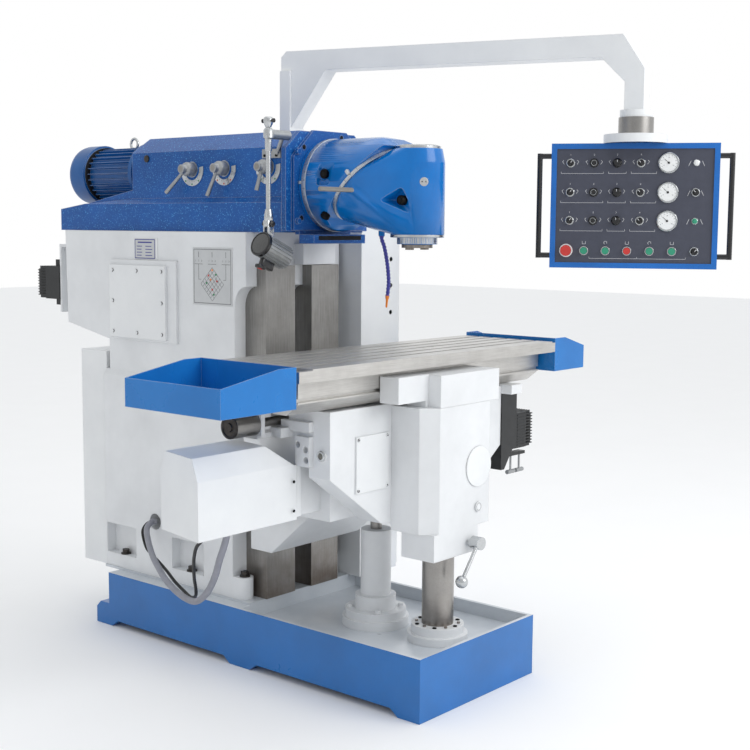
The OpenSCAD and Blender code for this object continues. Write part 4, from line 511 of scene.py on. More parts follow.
def piece(name, bm, finishes, body, stands_for=(), smooth=35.0):
    """Closes a piece: welds, points the faces out, scales to metres, and lets it ride on its body."""
    bmesh.ops.remove_doubles(bm, verts=bm.verts, dist=WELD)
    bmesh.ops.recalc_face_normals(bm, faces=bm.faces)
    bmesh.ops.scale(bm, vec=TO_METRES, verts=bm.verts)
    done = bm.faces.layers.int.get("done")
    if done:
        bm.faces.layers.int.remove(done)
    mesh = bpy.data.meshes.new(name)
    bm.to_mesh(mesh)
    bm.free()
    mesh.shade_smooth()
    mesh.set_sharp_from_angle(angle=math.radians(smooth))
    for finish in finishes:
        mesh.materials.append(finish)
    obj = bpy.data.objects.new(name, mesh)
    bpy.context.scene.collection.objects.link(obj)
    if body:
        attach(obj, body)
    if stands_for:
        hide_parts(*stands_for)
    print(name, len(mesh.polygons), "faces")
    return obj


print("pieces are welded at", WELD, "mm")

# %% [markdown]
# ## Two cords
# A ribbed conduit and a thin cable run freely from the column to the feed drive on the knee. They hang
# between the column, which stays, and the drive, which goes up and down; here each is drawn once, as
# one fixed tube on no body. On the conduit every second ring is smaller by the depth of the groove,
# which draws the ribs.

# %% Cords
CONDUIT = [(-322, 694, 537), (-345, 694, 537), (-396, 664, 521), (-436, 608, 482), (-482, 520, 430),
           (-530, 420, 400), (-580, 315, 378), (-622, 205, 362), (-664, 95, 360), (-705, -10, 375),
           (-735, -90, 412), (-765, -165, 468), (-800, -240, 545), (-832, -300, 625), (-850, -345, 690),
           (-855, -366, 737), (-855, -366, 762)]
CABLE = [(-322, 716, 530), (-352, 716, 530), (-400, 690, 503), (-421, 640, 442), (-441, 572, 420),
         (-464, 500, 405), (-495, 410, 386), (-530, 315, 362), (-568, 205, 344), (-612, 115, 348),
         (-655, 40, 378), (-715, -30, 432), (-785, -100, 502), (-850, -170, 572), (-910, -240, 640),
         (-950, -300, 700), (-968, -354, 741), (-968, -354, 762)]


def free_cord(name, points, r, groove, rib, finish, node):
    """A cord of radius r with a ring every rib millimetres, in place of its CAD node."""
    path, length = smooth_path(points, rib)
    bm = bmesh.new()
    tube(bm, path, [r - groove * (i % 2) for i in range(len(path))], sides=16)
    obj = piece(name, bm, [finish], None, [node], smooth=60)
    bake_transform(obj)
    print(name, "is", round(length), "mm long")


CONDUIT_R, CONDUIT_GROOVE, CONDUIT_RIB = 14, 1.4, 3.4
CABLE_R, CABLE_GROOVE, CABLE_STEP = 7, 0.0, 8.0
free_cord("conduit", CONDUIT, CONDUIT_R, CONDUIT_GROOVE, CONDUIT_RIB, CONDUIT_GREY, "motor_conduit")
free_cord("signal_cable", CABLE, CABLE_R, CABLE_GROOVE, CABLE_STEP, RUBBER, "motor_cable")

# %% [markdown]
# ## Floor and light
# A plain pale floor takes the shadow. It lies a little under the feet, so that no face of the base
# shares its plane.

# %% Floor
FLOOR_HALF, FLOOR_DROP = 30000, 0.4
bm = bmesh.new()
bmesh.ops.create_grid(bm, x_segments=1, y_segments=1, size=FLOOR_HALF,
                      matrix=Matrix.Translation((0, 0, -FLOOR_DROP)))
material, tree, place = new_finish("pale_studio_floor")
cloud = add(tree, "TexNoise", {"Scale": mm(400), "Detail": 3.0}, {"Vector": place})
tone = add(tree, "Mix", {"data_type": "RGBA", A: rgb("#FBFBFB"), B: rgb("#F8F8F8")},
           {FACTOR: cloud.outputs["Fac"]})
close(tree, {"Roughness": 0.9, "Specular IOR Level": 0.1}, {"Base Color": tone.outputs[MIXED]})
floor = piece("floor", bm, [material], None)

# %% [markdown]
# The world gives most of the light, as a bright room does. It is plain white for the camera. For all
# other rays its strength grows from the left (-X) to the right, so that the two visible sides of the
# machine differ in tone as in the photo. Three lamps add soft highlights: a key in front and to the
# right, a weak one at the left, and one overhead.

# %% World and lamps
LEFT_STRENGTH, RIGHT_STRENGTH = 0.62, 1.04
bpy.context.scene.view_settings.view_transform = "Standard"
world = bpy.data.worlds.new("studio")
bpy.context.scene.world = world
world.use_nodes = True
tree = world.node_tree
tree.nodes.clear()
seen = add(tree, "LightPath").outputs["Is Camera Ray"]
heading = add(tree, "SeparateXYZ", {}, {0: add(tree, "TexCoord").outputs["Generated"]})
level = add(tree, "MapRange",
            {"From Min": -1.0, "From Max": 0.3, "To Min": LEFT_STRENGTH, "To Max": RIGHT_STRENGTH},
            {0: heading.outputs["X"]})
room = add(tree, "Background", {"Color": (0.97, 0.985, 1.0, 1.0)}, {"Strength": level.outputs[0]})
backdrop = add(tree, "Background", {"Color": WHITE, "Strength": 1.0})
both = add(tree, "MixShader", {}, {0: seen, 1: room.outputs[0], 2: backdrop.outputs[0]})
add(tree, "OutputWorld", {}, {"Surface": both.outputs[0]})


def softbox(name, at, aim, size, power):
    """A broad lamp that looks at a point; places in metres, power in watts."""
    lamp = bpy.data.lights.new(name, "AREA")
    lamp.shape, lamp.size, lamp.size_y, lamp.energy = "RECTANGLE", size[0], size[1], power
    holder = bpy.data.objects.new(name, lamp)
    bpy.context.scene.collection.objects.link(holder)
    away = (Vector(at) - Vector(aim)).to_track_quat("Z", "Y").to_matrix().to_4x4()
    holder.matrix_world = Matrix.Translation(at) @ away


softbox("key", at=(1.2, -6.4, 4.4), aim=(0, -0.2, 1.1), size=(4.0, 3.0), power=150)
softbox("side", at=(-6.5, 1.0, 3.2), aim=(0, 0.1, 1.0), size=(3.5, 3.0), power=10)
softbox("top", at=(0.5, -0.5, 6.5), aim=(0, 0, 1.0), size=(4.0, 4.0), power=30)
print("studio ready")

# %% [markdown]
# ## Finishes on the CAD nodes
# Most castings and sheets of the frame already have their shape, so they only need a finish. One table
# gives it, each finish with its nodes. Those that a detailed piece stands for are in it too, so that the
# print at the end shows whether a node was forgotten.

# %% Node finishes
FINISHES = {
    RAM_BLUE: "ram gear_housing front_flange",
    MOTOR_BLUE: "main_motor",
    HEAD_BLUE: "swivel_housing milling_head",
    TRAY_BLUE: "tray_left tray_right",
    BASE_PAINT: "base_tray",
    WHITE_CAST: "column knee knee_gearbox gearbox_cover lift_tube pendant_post ram_drive_bracket",
    WHITE_SHEET: "side_covers rear_cabinet electrical_cabinet cabinet_door drive_hood knee_covers "
                 "pendant_arm",
    TABLE_STEEL: "table",
    WAY_STEEL: "column_ways",
    COLUMN_STEEL: "support_column",
    TURNED_STEEL: "ram_screw x_screw z_screw spindle_bearings",
    NOSE_STEEL: "spindle",
    DARK_STEEL: "hold_down_bolts",
    CHROME: "knee_lever head_cap",
    CAST_ALUMINIUM: "speed_lever_rear speed_lever_middle speed_lever_front lamp_arm lamp_head "
                    "clamp_handle_outer clamp_handle_inner lamp_bracket",
    SCALE_ALUMINIUM: "housing_scale head_scale speed_dials",
    SERVO_BLACK: "ram_feed_motor feed_motor lift_motor",
    HOSE_VIOLET: "coolant_hose",
    PANEL_FACE: "control_panel",
    BLACK_PLASTIC: "panel_dials",
    CONDUIT_GREY: "motor_conduit",
    RUBBER: "motor_cable",
    RED_CAP: "emergency_stop button_3",
    GREEN_CAP: "button_1 button_2 button_4 button_5",
}
left = set(NODES)
for finish, names in FINISHES.items():
    for name in names.split():
        NODES[name].data.materials.clear()
        NODES[name].data.materials.append(finish)
        left.discard(name)
print("nodes without a finish:", sorted(left))

# %% [markdown]
# ## Places on faces
# Dials, screws and plates sit on faces that look in many directions. Each could be drawn flat and then
# turned by hand. Here a matrix gives a face its own right, up and outward directions, so that a small
# part is drawn once, in plain numbers, and laid on any face.

# %% Places on faces
X, Y, Z = Vector((1, 0, 0)), Vector((0, 1, 0)), Vector((0, 0, 1))
BOTH_SIDES = (-1, 1)
RIM_SIDES = 40      # sides of a small turned rim


def frame_at(origin, right, upward):
    """A place on a face: its x runs along right, its y along upward, its z out of the face."""
    r = Vector(right).normalized()
    u = (Vector(upward) - r * Vector(upward).dot(r)).normalized()
    return Matrix.Translation(origin) @ Matrix((r, u, r.cross(u))).transposed().to_4x4()


def moved(place, x=0.0, y=0.0, z=0.0):
    """The same place, moved in its own directions."""
    return place @ Matrix.Translation((x, y, z))


def on_circle(r, degrees):
    """The flat point at radius r and at an angle counted from the right towards the top."""
    return r * math.cos(math.radians(degrees)), r * math.sin(math.radians(degrees))


print("a place on a face maps", tuple(X), "to", tuple(frame_at((0, 0, 0), -Y, Z).to_3x3() @ X))

# %% [markdown]
# ## Printed marks and screws
# Signs on a machine are printed or engraved. An image could carry them, but thin raised slabs and text
# turned into a mesh stay sharp from near and need no picture. All marks are plain digits, dots and lines.

# %% Marks and screws
INK = 0.4               # how far a printed mark stands proud
DIGIT_SHARE = 0.72      # the height of a digit as a share of the font's size


def letters(bm, text, height, place, depth=INK):
    """Plain digits, printed at a place and centred on it."""
    curve = bpy.data.curves.new("digits", "FONT")
    curve.body, curve.size, curve.extrude = text, height / DIGIT_SHARE, depth / 2
    curve.align_x, curve.align_y = "CENTER", "CENTER"
    curve.resolution_u = 2
    holder = bpy.data.objects.new("digits", curve)
    mesh = bpy.data.meshes.new_from_object(holder)
    mesh.transform(place)
    bm.from_mesh(mesh)
    bpy.data.objects.remove(holder)
    bpy.data.curves.remove(curve)
    bpy.data.meshes.remove(mesh)


def stroke(bm, place, start, end, width, depth=INK):
    """A printed line between two points of a face."""
    a, b = Vector((*start, 0)), Vector((*end, 0))
    half = Vector((-(b - a).y, (b - a).x, 0)).normalized() * width / 2
    corners = (a - half, b - half, b + half, a + half)
    slab(bm, [place @ p for p in corners], place.to_3x3() @ Vector((0, 0, depth)))


def dot(bm, place, at, r, depth=0.5):
    """A printed round dot."""
    bar(bm, place @ Vector((*at, 0)), place @ Vector((*at, depth)), r, sides=12)


SHOULDER, TOP_R, SOCKET_R = 0.85, 0.9, 0.5      # shares of a screw head's height and of its radius


def socket_screw(bm, place, r, h):
    """A cap screw standing on a face: finish 0 is its head, finish 1 its socket, a hexagon of painted shade.
    """
    head = [(0, 0), (r, 0), (r, h * SHOULDER), (r * TOP_R, h), (0, h)]
    turned(bm, place.translation, place.to_3x3() @ Z, head, steps=24)
    mark(bm, 0)
    bar(bm, place @ Vector((0, 0, h)), place @ Vector((0, 0, h + INK)), r * SOCKET_R, sides=6)
    mark(bm, 1)


print("marks stand", INK, "mm proud")

# %% [markdown]
# ## Pockets in castings
# The housing and the head have cast pockets that give a spanner room. The pocket could be modelled into
# a new casting. Instead it is cut by a boolean from a copy of the CAD node, so that the rest of the
# casting keeps its exact shape. The copy is merged first, because a CAD mesh is loose triangles.

# %% Pockets in castings
def pocket(cutter, place, outline, depth, edge, above=60):
    """One cutting block: it starts above the face, ends depth below it and has rounded floor edges."""
    face = cutter.faces.new([cutter.verts.new(place @ Vector((*p, above))) for p in outline])
    made = bmesh.ops.extrude_face_region(cutter, geom=[face])
    floor_verts = [g for g in made["geom"] if isinstance(g, bmesh.types.BMVert)]
    bmesh.ops.translate(cutter, vec=place.to_3x3() @ Vector((0, 0, -above - depth)), verts=floor_verts)
    round_off(cutter, {e for v in floor_verts for e in v.link_edges}, edge, 3)


def carved(name, node, cutter, finishes, body):
    """A copy of a CAD node with pockets cut into it; the cutter is drawn in millimetres."""
    bm = bmesh.new()
    bm.from_mesh(NODES[node].data)
    bmesh.ops.remove_doubles(bm, verts=bm.verts, dist=1e-6)
    mesh = bpy.data.meshes.new(name)
    bm.to_mesh(mesh)
    bm.free()
    bmesh.ops.recalc_face_normals(cutter, faces=cutter.faces)
    bmesh.ops.scale(cutter, vec=TO_METRES, verts=cutter.verts)
    tool_mesh = bpy.data.meshes.new("cutter")
    cutter.to_mesh(tool_mesh)
    cutter.free()
    obj, tool = bpy.data.objects.new(name, mesh), bpy.data.objects.new("cutter", tool_mesh)
    for item in (obj, tool):
        bpy.context.scene.collection.objects.link(item)
    cut = obj.modifiers.new("cut", "BOOLEAN")
    cut.operation, cut.object, cut.solver = "DIFFERENCE", tool, "EXACT"
    done = bpy.data.meshes.new_from_object(obj.evaluated_get(bpy.context.evaluated_depsgraph_get()))
    obj.modifiers.clear()
    obj.data = done
    bpy.data.objects.remove(tool)
    done.shade_smooth()
    done.set_sharp_from_angle(angle=math.radians(30))
    done.materials.clear()
    for finish in finishes:
        done.materials.append(finish)
    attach(obj, body)
    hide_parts(node)
    print(name, len(done.polygons), "faces")
    return obj


# %% [markdown]
# ## Main motor
# The motor is a round cast frame with cooling fins, bolted to the gear housing by its flange. A smooth
# sheet cover over the fan closes the back, behind a gap that lets the air out; the gap is a dark disc of
# painted shade. Frame and cover are turned parts, so each is an outline spun round the axis; one fin is
# a thin slab, repeated round it.

# %% Motor frame and fan cover
MOTOR_AXIS = Vector((0, 0, 2174))
FLANGE_Y, GAP_Y, COVER_Y = 1050, 1412, 1424     # where flange, dark gap and fan cover begin
FINS, FIN_Y, FIN_LENGTH = 28, 1077, 338
FIN_PROFILE = ((112, -3), (112, 3), (130, 1.4), (130, -1.4))        # radius and half thickness
FRAME_PROFILE = [(0, 0), (146, 0), (148, 2), (148, 24), (146, 26), (126, 26), (120, 32), (114, 36),
                 (114, 372), (0, 372)]
COVER_PROFILE = [(0, 0), (143, 0), (147, 3), (147, 96), (144, 114), (134, 127), (118, 133), (96, 136),
                 (0, 137)]
motor = bmesh.new()
turned(motor, MOTOR_AXIS + Y * FLANGE_Y, Y, FRAME_PROFILE, steps=96)
for i in range(FINS):
    turn = Matrix.Rotation(math.tau * i / FINS, 4, "Y")
    turn = Matrix.Translation(MOTOR_AXIS) @ turn @ Matrix.Translation(-MOTOR_AXIS)
    foot = [turn @ (MOTOR_AXIS + Vector((r, FIN_Y, half))) for r, half in FIN_PROFILE]
    slab(motor, foot, Y * FIN_LENGTH)
mark(motor, 0)
turned(motor, MOTOR_AXIS + Y * GAP_Y, Y, [(0, 0), (136, 0), (136, 16), (0, 16)], steps=64)
mark(motor, 1)
turned(motor, MOTOR_AXIS + Y * COVER_Y, Y, COVER_PROFILE, steps=96)
mark(motor, 0)
print("motor frame:", len(motor.faces), "faces")

# %% [markdown]
# The fan draws its air through three rings of holes. Each is a dark disc of painted shade that stands
# just proud of the cover, which costs far fewer faces than a real hole. The terminal box with its two
# cable glands sits on the far side, the lifting eye on top.

# %% Motor vents, terminal box and lifting eye
VENT_R, COVER_BACK = 8, 135
TERMINAL_BOX = (66, 1102, 2112), (182, 1252, 2236)
TERMINAL_LID = (178, 1098, 2108), (190, 1256, 2240)
GLAND_X, GLAND_Y, GLAND_LENGTH, GLAND_R = 150, 1256, 20, 13
for ring_r, count, top in ((40, 8, 137.6), (66, 14, 137.6), (92, 20, 136.9)):
    for i in range(count):
        a = math.tau * i / count
        at = MOTOR_AXIS + Vector((ring_r * math.cos(a), COVER_Y, ring_r * math.sin(a)))
        bar(motor, at + Y * COVER_BACK, at + Y * top, VENT_R, sides=10)
mark(motor, 1)
block(motor, *TERMINAL_BOX, edge=8)
block(motor, *TERMINAL_LID, edge=4)
for gland_z in (2155.6, 2192.4):
    bar(motor, (GLAND_X, GLAND_Y, gland_z), (GLAND_X, GLAND_Y + GLAND_LENGTH, gland_z), GLAND_R,
        sides=6, edge=1.5)
mark(motor, 0)
EYE_Y, EYE_R, EYE_WIRE, EYE_SIDES = 1200, 26, 7, 12
wire = [(EYE_R + EYE_WIRE * math.cos(math.tau * k / EYE_SIDES), EYE_WIRE * math.sin(math.tau * k / EYE_SIDES))
        for k in range(EYE_SIDES + 1)]
turned(motor, (0, EYE_Y, 2323), X, wire, steps=32)
turned(motor, (0, EYE_Y, 2284), Z, [(0, 0), (14, 0), (16, 14), (14, 18), (8, 22), (0, 22)], steps=24)
mark(motor, 2)
piece("motor", motor, [MOTOR_BLUE, PAINTED_HOLE_SHADE, CHROME], "ram_slide", ["main_motor"], smooth=40)

# %% [markdown]
# ## Speed levers
# Three cast levers choose the spindle speed. Each is a turned hub with a cap and a bar that gets thicker
# outwards, so a spun outline and one cone make it. They ride on bodies of their own, one for each shaft.

# %% Speed levers
LEVERS = [("rear", 507, 158, -41), ("middle", 297, 132, -66), ("front", 23, 102, -80)]
SHAFT_Z, HUB_X, CAP_X = 2173, -235, -307
BAR_INNER_X, BAR_OUTER_X, BAR_START = -277, -289, 12
BAR_INNER_R, BAR_OUTER_R, BAR_EDGE = 7, 10, 1.2
HUB_PROFILE = [(0, -20), (11.9, -20), (11.9, 4.5), (29, 4.5), (32, 7), (32, 36), (29, 44), (22, 50),
               (20, 53), (20, 70), (18, 72), (0, 72)]
for name, y, reach, angle in LEVERS:
    bm = bmesh.new()
    turned(bm, (HUB_X, y, SHAFT_Z), -X, HUB_PROFILE, steps=48)
    (near_y, near_z), (far_y, far_z) = on_circle(BAR_START, angle), on_circle(reach, angle)
    bar(bm, (BAR_INNER_X, y + near_y, SHAFT_Z + near_z), (BAR_OUTER_X, y + far_y, SHAFT_Z + far_z),
        BAR_INNER_R, BAR_OUTER_R, sides=24, edge=BAR_EDGE)
    mark(bm, 0)
    turned(bm, (CAP_X, y, SHAFT_Z), -X, [(0, 0), (13, 0), (13, 0.6), (0, 0.6)], steps=32)
    mark(bm, 1)
    piece("lever_" + name, bm, [CAST_ALUMINIUM, TURNED_STEEL], "lever_" + name, ["speed_lever_" + name])

# %% [markdown]
# Behind each lever lies a plate of bare aluminium: a crescent with marks and coloured dots, and a round
# rim at the hub. The crescent is built of short flat slabs, because a ring of few straight steps reads
# as round at this size.

# %% Speed dial plates
PLATE_X, PLATE_THICK = -235.2, 3.6
CRESCENT_INNER, CRESCENT_OUTER, CRESCENT_STEP = 48, 74, 10
TICK_START, TICK_END, TICK_W = 52, 57, 1.2
DOT_RING, DOT_R = 66, 4
bm = bmesh.new()
for _, y, _, _ in LEVERS:
    place = frame_at((PLATE_X, y, SHAFT_Z), -Y, Z)
    for t in range(-190, 1, CRESCENT_STEP):
        corners = (on_circle(CRESCENT_OUTER, t), on_circle(CRESCENT_OUTER, t + CRESCENT_STEP),
                   on_circle(CRESCENT_INNER, t + CRESCENT_STEP), on_circle(CRESCENT_INNER, t))
        slab(bm, [place @ Vector((*p, 0)) for p in corners], -X * PLATE_THICK)
    rim = [(12.5, 0), (35, 0), (35, PLATE_THICK), (12.5, PLATE_THICK), (12.5, 0)]
    turned(bm, place.translation, -X, rim, steps=48)
mark(bm, 0)
faces_of_dials = [frame_at((PLATE_X - PLATE_THICK, y, SHAFT_Z), -Y, Z) for _, y, _, _ in LEVERS]
for place in faces_of_dials:
    for t in range(-165, -10, 15):
        stroke(bm, place, on_circle(TICK_START, t), on_circle(TICK_END, t), TICK_W)
mark(bm, 1)
for place, colour in zip(faces_of_dials, (2, 3, 2)):
    for t in (-130, -90, -50):
        dot(bm, place, on_circle(DOT_RING, t), DOT_R)
    mark(bm, colour)
piece("speed_dial_plates", bm, [SCALE_ALUMINIUM, PRINT_DARK, PRINT_GREEN, PRINT_RED], "ram_slide",
      ["speed_dials"])

# %% [markdown]
# ## Two graduated rings
# The housing swivels on the ram, and the head turns on the slanted face of the housing. Each joint has
# a bright ring with degree marks every 2 degrees, longer ones every 10, and plain numbers. The marks
# are laid round the rim by a rotation matrix, one slab and one text mesh at a time.

# %% Graduated rings
RING_SIDES, MARK_STEP, LONG_MARK = 120, 2, 10       # the last two in degrees


def scale_ring(name, centre, axis, r, start, end, body, node, back=None):
    """A ring whose rim carries the marks: its bright band lies between start and end along the axis."""
    bm = bmesh.new()
    c, w, band = Vector(centre), Vector(axis).normalized(), end - start
    profile = [(0, start), (r - 1, start), (r, start + 1), (r, end - 1), (r - 1, end), (0, end)]
    turned(bm, c, w, profile, steps=RING_SIDES)
    mark(bm, 0)
    if back is not None:
        collar = [(0, end + 0.2), (r - 1.5, end + 0.2), (r - 1.5, back), (0, back)]
        turned(bm, c, w, collar, steps=RING_SIDES)
        mark(bm, 2)
    zero = w.orthogonal().normalized()
    for degrees in range(0, 360, MARK_STEP):
        out = Matrix.Rotation(math.radians(degrees), 3, w) @ zero
        along = w.cross(out)
        long = degrees % LONG_MARK == 0
        height = band * (0.55 if long else 0.3)
        top, half = c + out * (r - 0.3) + w * (end - 1.2), along * 0.55
        slab(bm, [top - half, top + half, top + half - w * height, top - half - w * height], out * 0.6)
        if long:
            place = frame_at(c + out * (r - 0.2) + w * (start + band * 0.24), along, w)
            letters(bm, str(min(degrees, 360 - degrees) % 100), band * 0.26, place, 0.8)
    mark(bm, 1)
    piece(name, bm, [SCALE_ALUMINIUM, PRINT_DARK, HEAD_BLUE], body, [node], smooth=30)


FORWARD = Vector((0, -1, -1)).normalized()      # out of the slanted face
SLANT = Vector((0, -382, 2090))                 # the middle of the slanted face
scale_ring("first_ring", (0, 0, 2098), Y, 200, -157, -135, "swivel", "housing_scale", back=-120.4)
scale_ring("slanted_ring", SLANT, FORWARD, 205, -15.7, 0, "head", "head_scale")

# %% [markdown]
# ## Swivel housing
# The casting has one pocket on each side. Two cap screws a side clamp it, one above and one on the
# sloping flank below, where it stays clear of the turning head.

# %% Swivel housing
HOUSING_HALF = 190
HOUSING_POCKET = ((-222, 2195), (-312, 2193), (-292, 2094), (-218, 2094))       # y and z of its corners
cutter = bmesh.new()
for s in BOTH_SIDES:
    flank = frame_at((s * HOUSING_HALF, 0, 0), (0, s, 0), Z)
    pocket(cutter, flank, [(s * y, z) for y, z in HOUSING_POCKET][::s], depth=16, edge=12)
carved("swivel_casting", "swivel_housing", cutter, [HEAD_BLUE], "swivel")

UPPER_BOLT, LOWER_BOLT, BOLT_R = (176, -253, 2140), (148, -232, 1972), 20
bm = bmesh.new()
for s in BOTH_SIDES:
    x, y, z = UPPER_BOLT
    socket_screw(bm, frame_at((s * x, y, z), (0, s, 0), Z), BOLT_R, 14)
    x, y, z = LOWER_BOLT
    socket_screw(bm, frame_at((s * x, y, z), (0, s, 0), (s * 0.75, 0, 0.66)), BOLT_R, 16)
piece("swivel_clamp_bolts", bm, [BLACK_OXIDE, PAINTED_HOLE_SHADE], "swivel")

# %% [markdown]
# Each ring is read against a pointer on the part that stands still: the first on the ram, the second on
# the housing. A pointer is a small bevelled block; the second one is turned to the slanted face.

# %% Pointers of the two rings
POINTER_EDGE = 1.5
FIRST_POINTER = (-205, -134, 2100), (-186, -121, 2113)
bm = bmesh.new()
block(bm, *FIRST_POINTER, edge=POINTER_EDGE)
piece("first_pointer", bm, [SCALE_ALUMINIUM], "ram_slide")
SECOND_POINTER = (-8, -11, -7), (8, 11, 7)
BESIDE_RING, BEHIND_SLANT = Vector((-197, -34, 34)), 27
bm = bmesh.new()
at = SLANT + BESIDE_RING - FORWARD * BEHIND_SLANT
block(bm, *SECOND_POINTER, edge=POINTER_EDGE, turn=frame_at(at, X, FORWARD))
piece("second_pointer", bm, [SCALE_ALUMINIUM], "swivel")

# %% [markdown]
# ## Milling head
# The head is a heavy rounded casting with a three-cornered pocket and a clamp bolt on each side. The
# bar handle belongs to its CAD node, so its faces are found by their distance from the bar's axis and
# get bare steel.

# %% Head casting
HEAD_Y = -606
FLANK_X, FLANK_ALONG = 116, (0.22, 0.975)       # the head's sides run slightly inwards to the front
CLAMP_BOLT = (-8, 2030, -24)                    # along the flank, up, and below its face
HEAD_POCKET = ((64, 2030), (-14, 2084), (-72, 1962))        # along the flank and up
BAR_HANDLE_Y, BAR_HANDLE_Z, BAR_HANDLE_R = -0.414, 2.071, 0.0102        # metres, as its faces are
flanks = [(s, frame_at((s * FLANK_X, -600, 0), [s * p for p in FLANK_ALONG] + [0], Z)) for s in BOTH_SIDES]
cutter = bmesh.new()
for s, flank in flanks:
    pocket(cutter, flank, [(s * along, z) for along, z in HEAD_POCKET][::s], depth=26, edge=14)
casting = carved("head_casting", "milling_head", cutter, [HEAD_BLUE, TURNED_STEEL], "head").data
for face in casting.polygons:
    c = face.center
    reach = math.hypot(c.y - BAR_HANDLE_Y, c.z - BAR_HANDLE_Z)
    face.material_index = int(c.x < -0.2 and reach < BAR_HANDLE_R)

bm = bmesh.new()
for s, flank in flanks:
    along, z, below = CLAMP_BOLT
    socket_screw(bm, moved(flank, s * along, z, below), BOLT_R, 26)
piece("head_clamp_bolts", bm, [BLACK_OXIDE, PAINTED_HOLE_SHADE], "head")

# %% [markdown]
# Three bright turned parts sit on the head: a plug with two spanner holes in front, a cap with six
# screws over the spindle, and a ring round the nose. Holes, and the six screws, are dark shapes of
# painted shade just proud of the metal.

# %% Head fittings
bm = bmesh.new()
PLUG_OUT, PLUG_Z, PLUG_REACH = Vector((-0.62, -0.785, 0)), 2104, 105
plug = frame_at(Vector((0, HEAD_Y, PLUG_Z)) + PLUG_OUT * PLUG_REACH, Z.cross(PLUG_OUT) * -1, Z)
turned(bm, plug.translation, PLUG_OUT, [(0, 0), (19, 0), (19, 5), (17.5, 7), (0, 7)], steps=RIM_SIDES)
mark(bm, 0)
for x in (-8, 8):
    hole = plug @ Vector((x, 0, 0))
    bar(bm, hole + PLUG_OUT * 6, hole + PLUG_OUT * 7.4, 3, sides=16)
mark(bm, 1)
CAP_PROFILE = [(26.5, -3), (92, -3), (94, -1), (94, 10), (91, 12), (80, 12), (78, 15), (40, 15), (38, 12),
               (26.5, 12), (26.5, -3)]
turned(bm, (0, HEAD_Y, 2240), Z, CAP_PROFILE, steps=96)
mark(bm, 0)
CAP_SCREWS, CAP_SCREW_RING = 6, 85
for k in range(CAP_SCREWS):
    a = math.tau * k / CAP_SCREWS
    spot = (CAP_SCREW_RING * math.cos(a), HEAD_Y + CAP_SCREW_RING * math.sin(a))
    bar(bm, (*spot, 2251), (*spot, 2252.8), 4, sides=6)
mark(bm, 1)
NOSE_PROFILE = [(64.9, -28), (82, -28), (84, -26), (84, -1), (109, -1), (111.5, 1), (111.5, 11), (64.9, 11),
                (64.9, -28)]
turned(bm, (0, HEAD_Y, 1880), Z, NOSE_PROFILE, steps=96)
mark(bm, 0)
piece("head_fittings", bm, [CHROME, PAINTED_HOLE_SHADE], "head", ["head_cap"], smooth=40)

# %% [markdown]
# ## Coolant hose
# The hose is a chain of plastic ball-and-socket beads that keeps the bend it is given. Separate beads
# would make hundreds of parts, so it is one tube whose radius swells at every bead. A turned orange
# nozzle ends it, a hexagon nut holds it.

# %% Hose
HOSE = [(17, -400, 1884), (17, -400, 1874), (22, -400, 1862), (34, -400, 1840), (46, -400, 1805),
        (56, -400, 1765), (63, -400, 1725), (66, -400, 1690), (63, -400, 1655), (58, -400, 1628)]
RING_GAP = 3.0                              # from one ring of the tube to the next
BEAD_RADII = (6.2, 8.2, 9.0, 9.0, 8.2)      # the rings of one bead
NOZZLE_PROFILE = [(0, -6), (8, -6), (9, 0), (8, 8), (5.2, 18), (4.2, 48), (2.6, 50), (0, 50)]
path, length = smooth_path(HOSE, RING_GAP)
bm = bmesh.new()
tube(bm, path, [BEAD_RADII[i % len(BEAD_RADII)] for i in range(len(path))], sides=20)
mark(bm, 0)
turned(bm, path[-1], Vector((-0.12, 0, -1)), NOZZLE_PROFILE, steps=24)
mark(bm, 1)
turned(bm, HOSE[0], Z, [(0, -4), (11, -4), (12.5, -2), (12.5, 4), (0, 4)], steps=6)
mark(bm, 0)
print("hose without its nozzle:", round(length), "mm")
piece("hose", bm, [HOSE_VIOLET, NOZZLE_ORANGE], "head", ["coolant_hose"], smooth=50)

# %% [markdown]
# ## Work lamp
# The lamp is a finned aluminium drum that carries the heat away, with a black front ring and a dark
# lens. The drum, ring and lens are three spun outlines on one tilted axis; a fin is a slab along it.

# %% Lamp drum
LAMP_TILT = math.radians(23.4)
AIM = Vector((-math.cos(LAMP_TILT), 0, math.sin(LAMP_TILT)))
DRUM = Vector((-331, -100, 1817))
DRUM_FINS, FIN_FOOT_R = 22, 46
lamp = bmesh.new()
turned(lamp, DRUM, AIM, [(0, -82), (38, -82), (45, -76), (48, -66), (48, 70), (0, 70)], steps=72)
across = AIM.cross(Y).normalized()
for k in range(DRUM_FINS):
    a = math.tau * k / DRUM_FINS
    out = across * math.cos(a) + Y * math.sin(a)
    along = AIM.cross(out)
    foot = DRUM + out * FIN_FOOT_R - AIM * 70
    tip = out * 6
    fin = [foot - along * 3.4, foot + along * 3.4, foot + along * 2.6 + tip, foot - along * 2.6 + tip]
    slab(lamp, fin, AIM * 138)
mark(lamp, 0)
FRONT_RING = [(0, 66), (51, 66), (53, 68), (53, 82), (50, 85), (46, 85), (46, 81), (0, 81)]
turned(lamp, DRUM, AIM, FRONT_RING, steps=72)
mark(lamp, 1)
turned(lamp, DRUM, AIM, [(0, 81.5), (45.5, 81.5), (44, 83.5), (20, 84.6), (0, 84.8)], steps=72)
mark(lamp, 2)
print("lamp drum:", len(lamp.faces), "faces")

# %% [markdown]
# The drum hangs between two cheeks on a cross pin with a small knob at each end. Below the drum sits
# the black switch housing with its red rocker. These are bevelled blocks, turned to the drum's tilt.

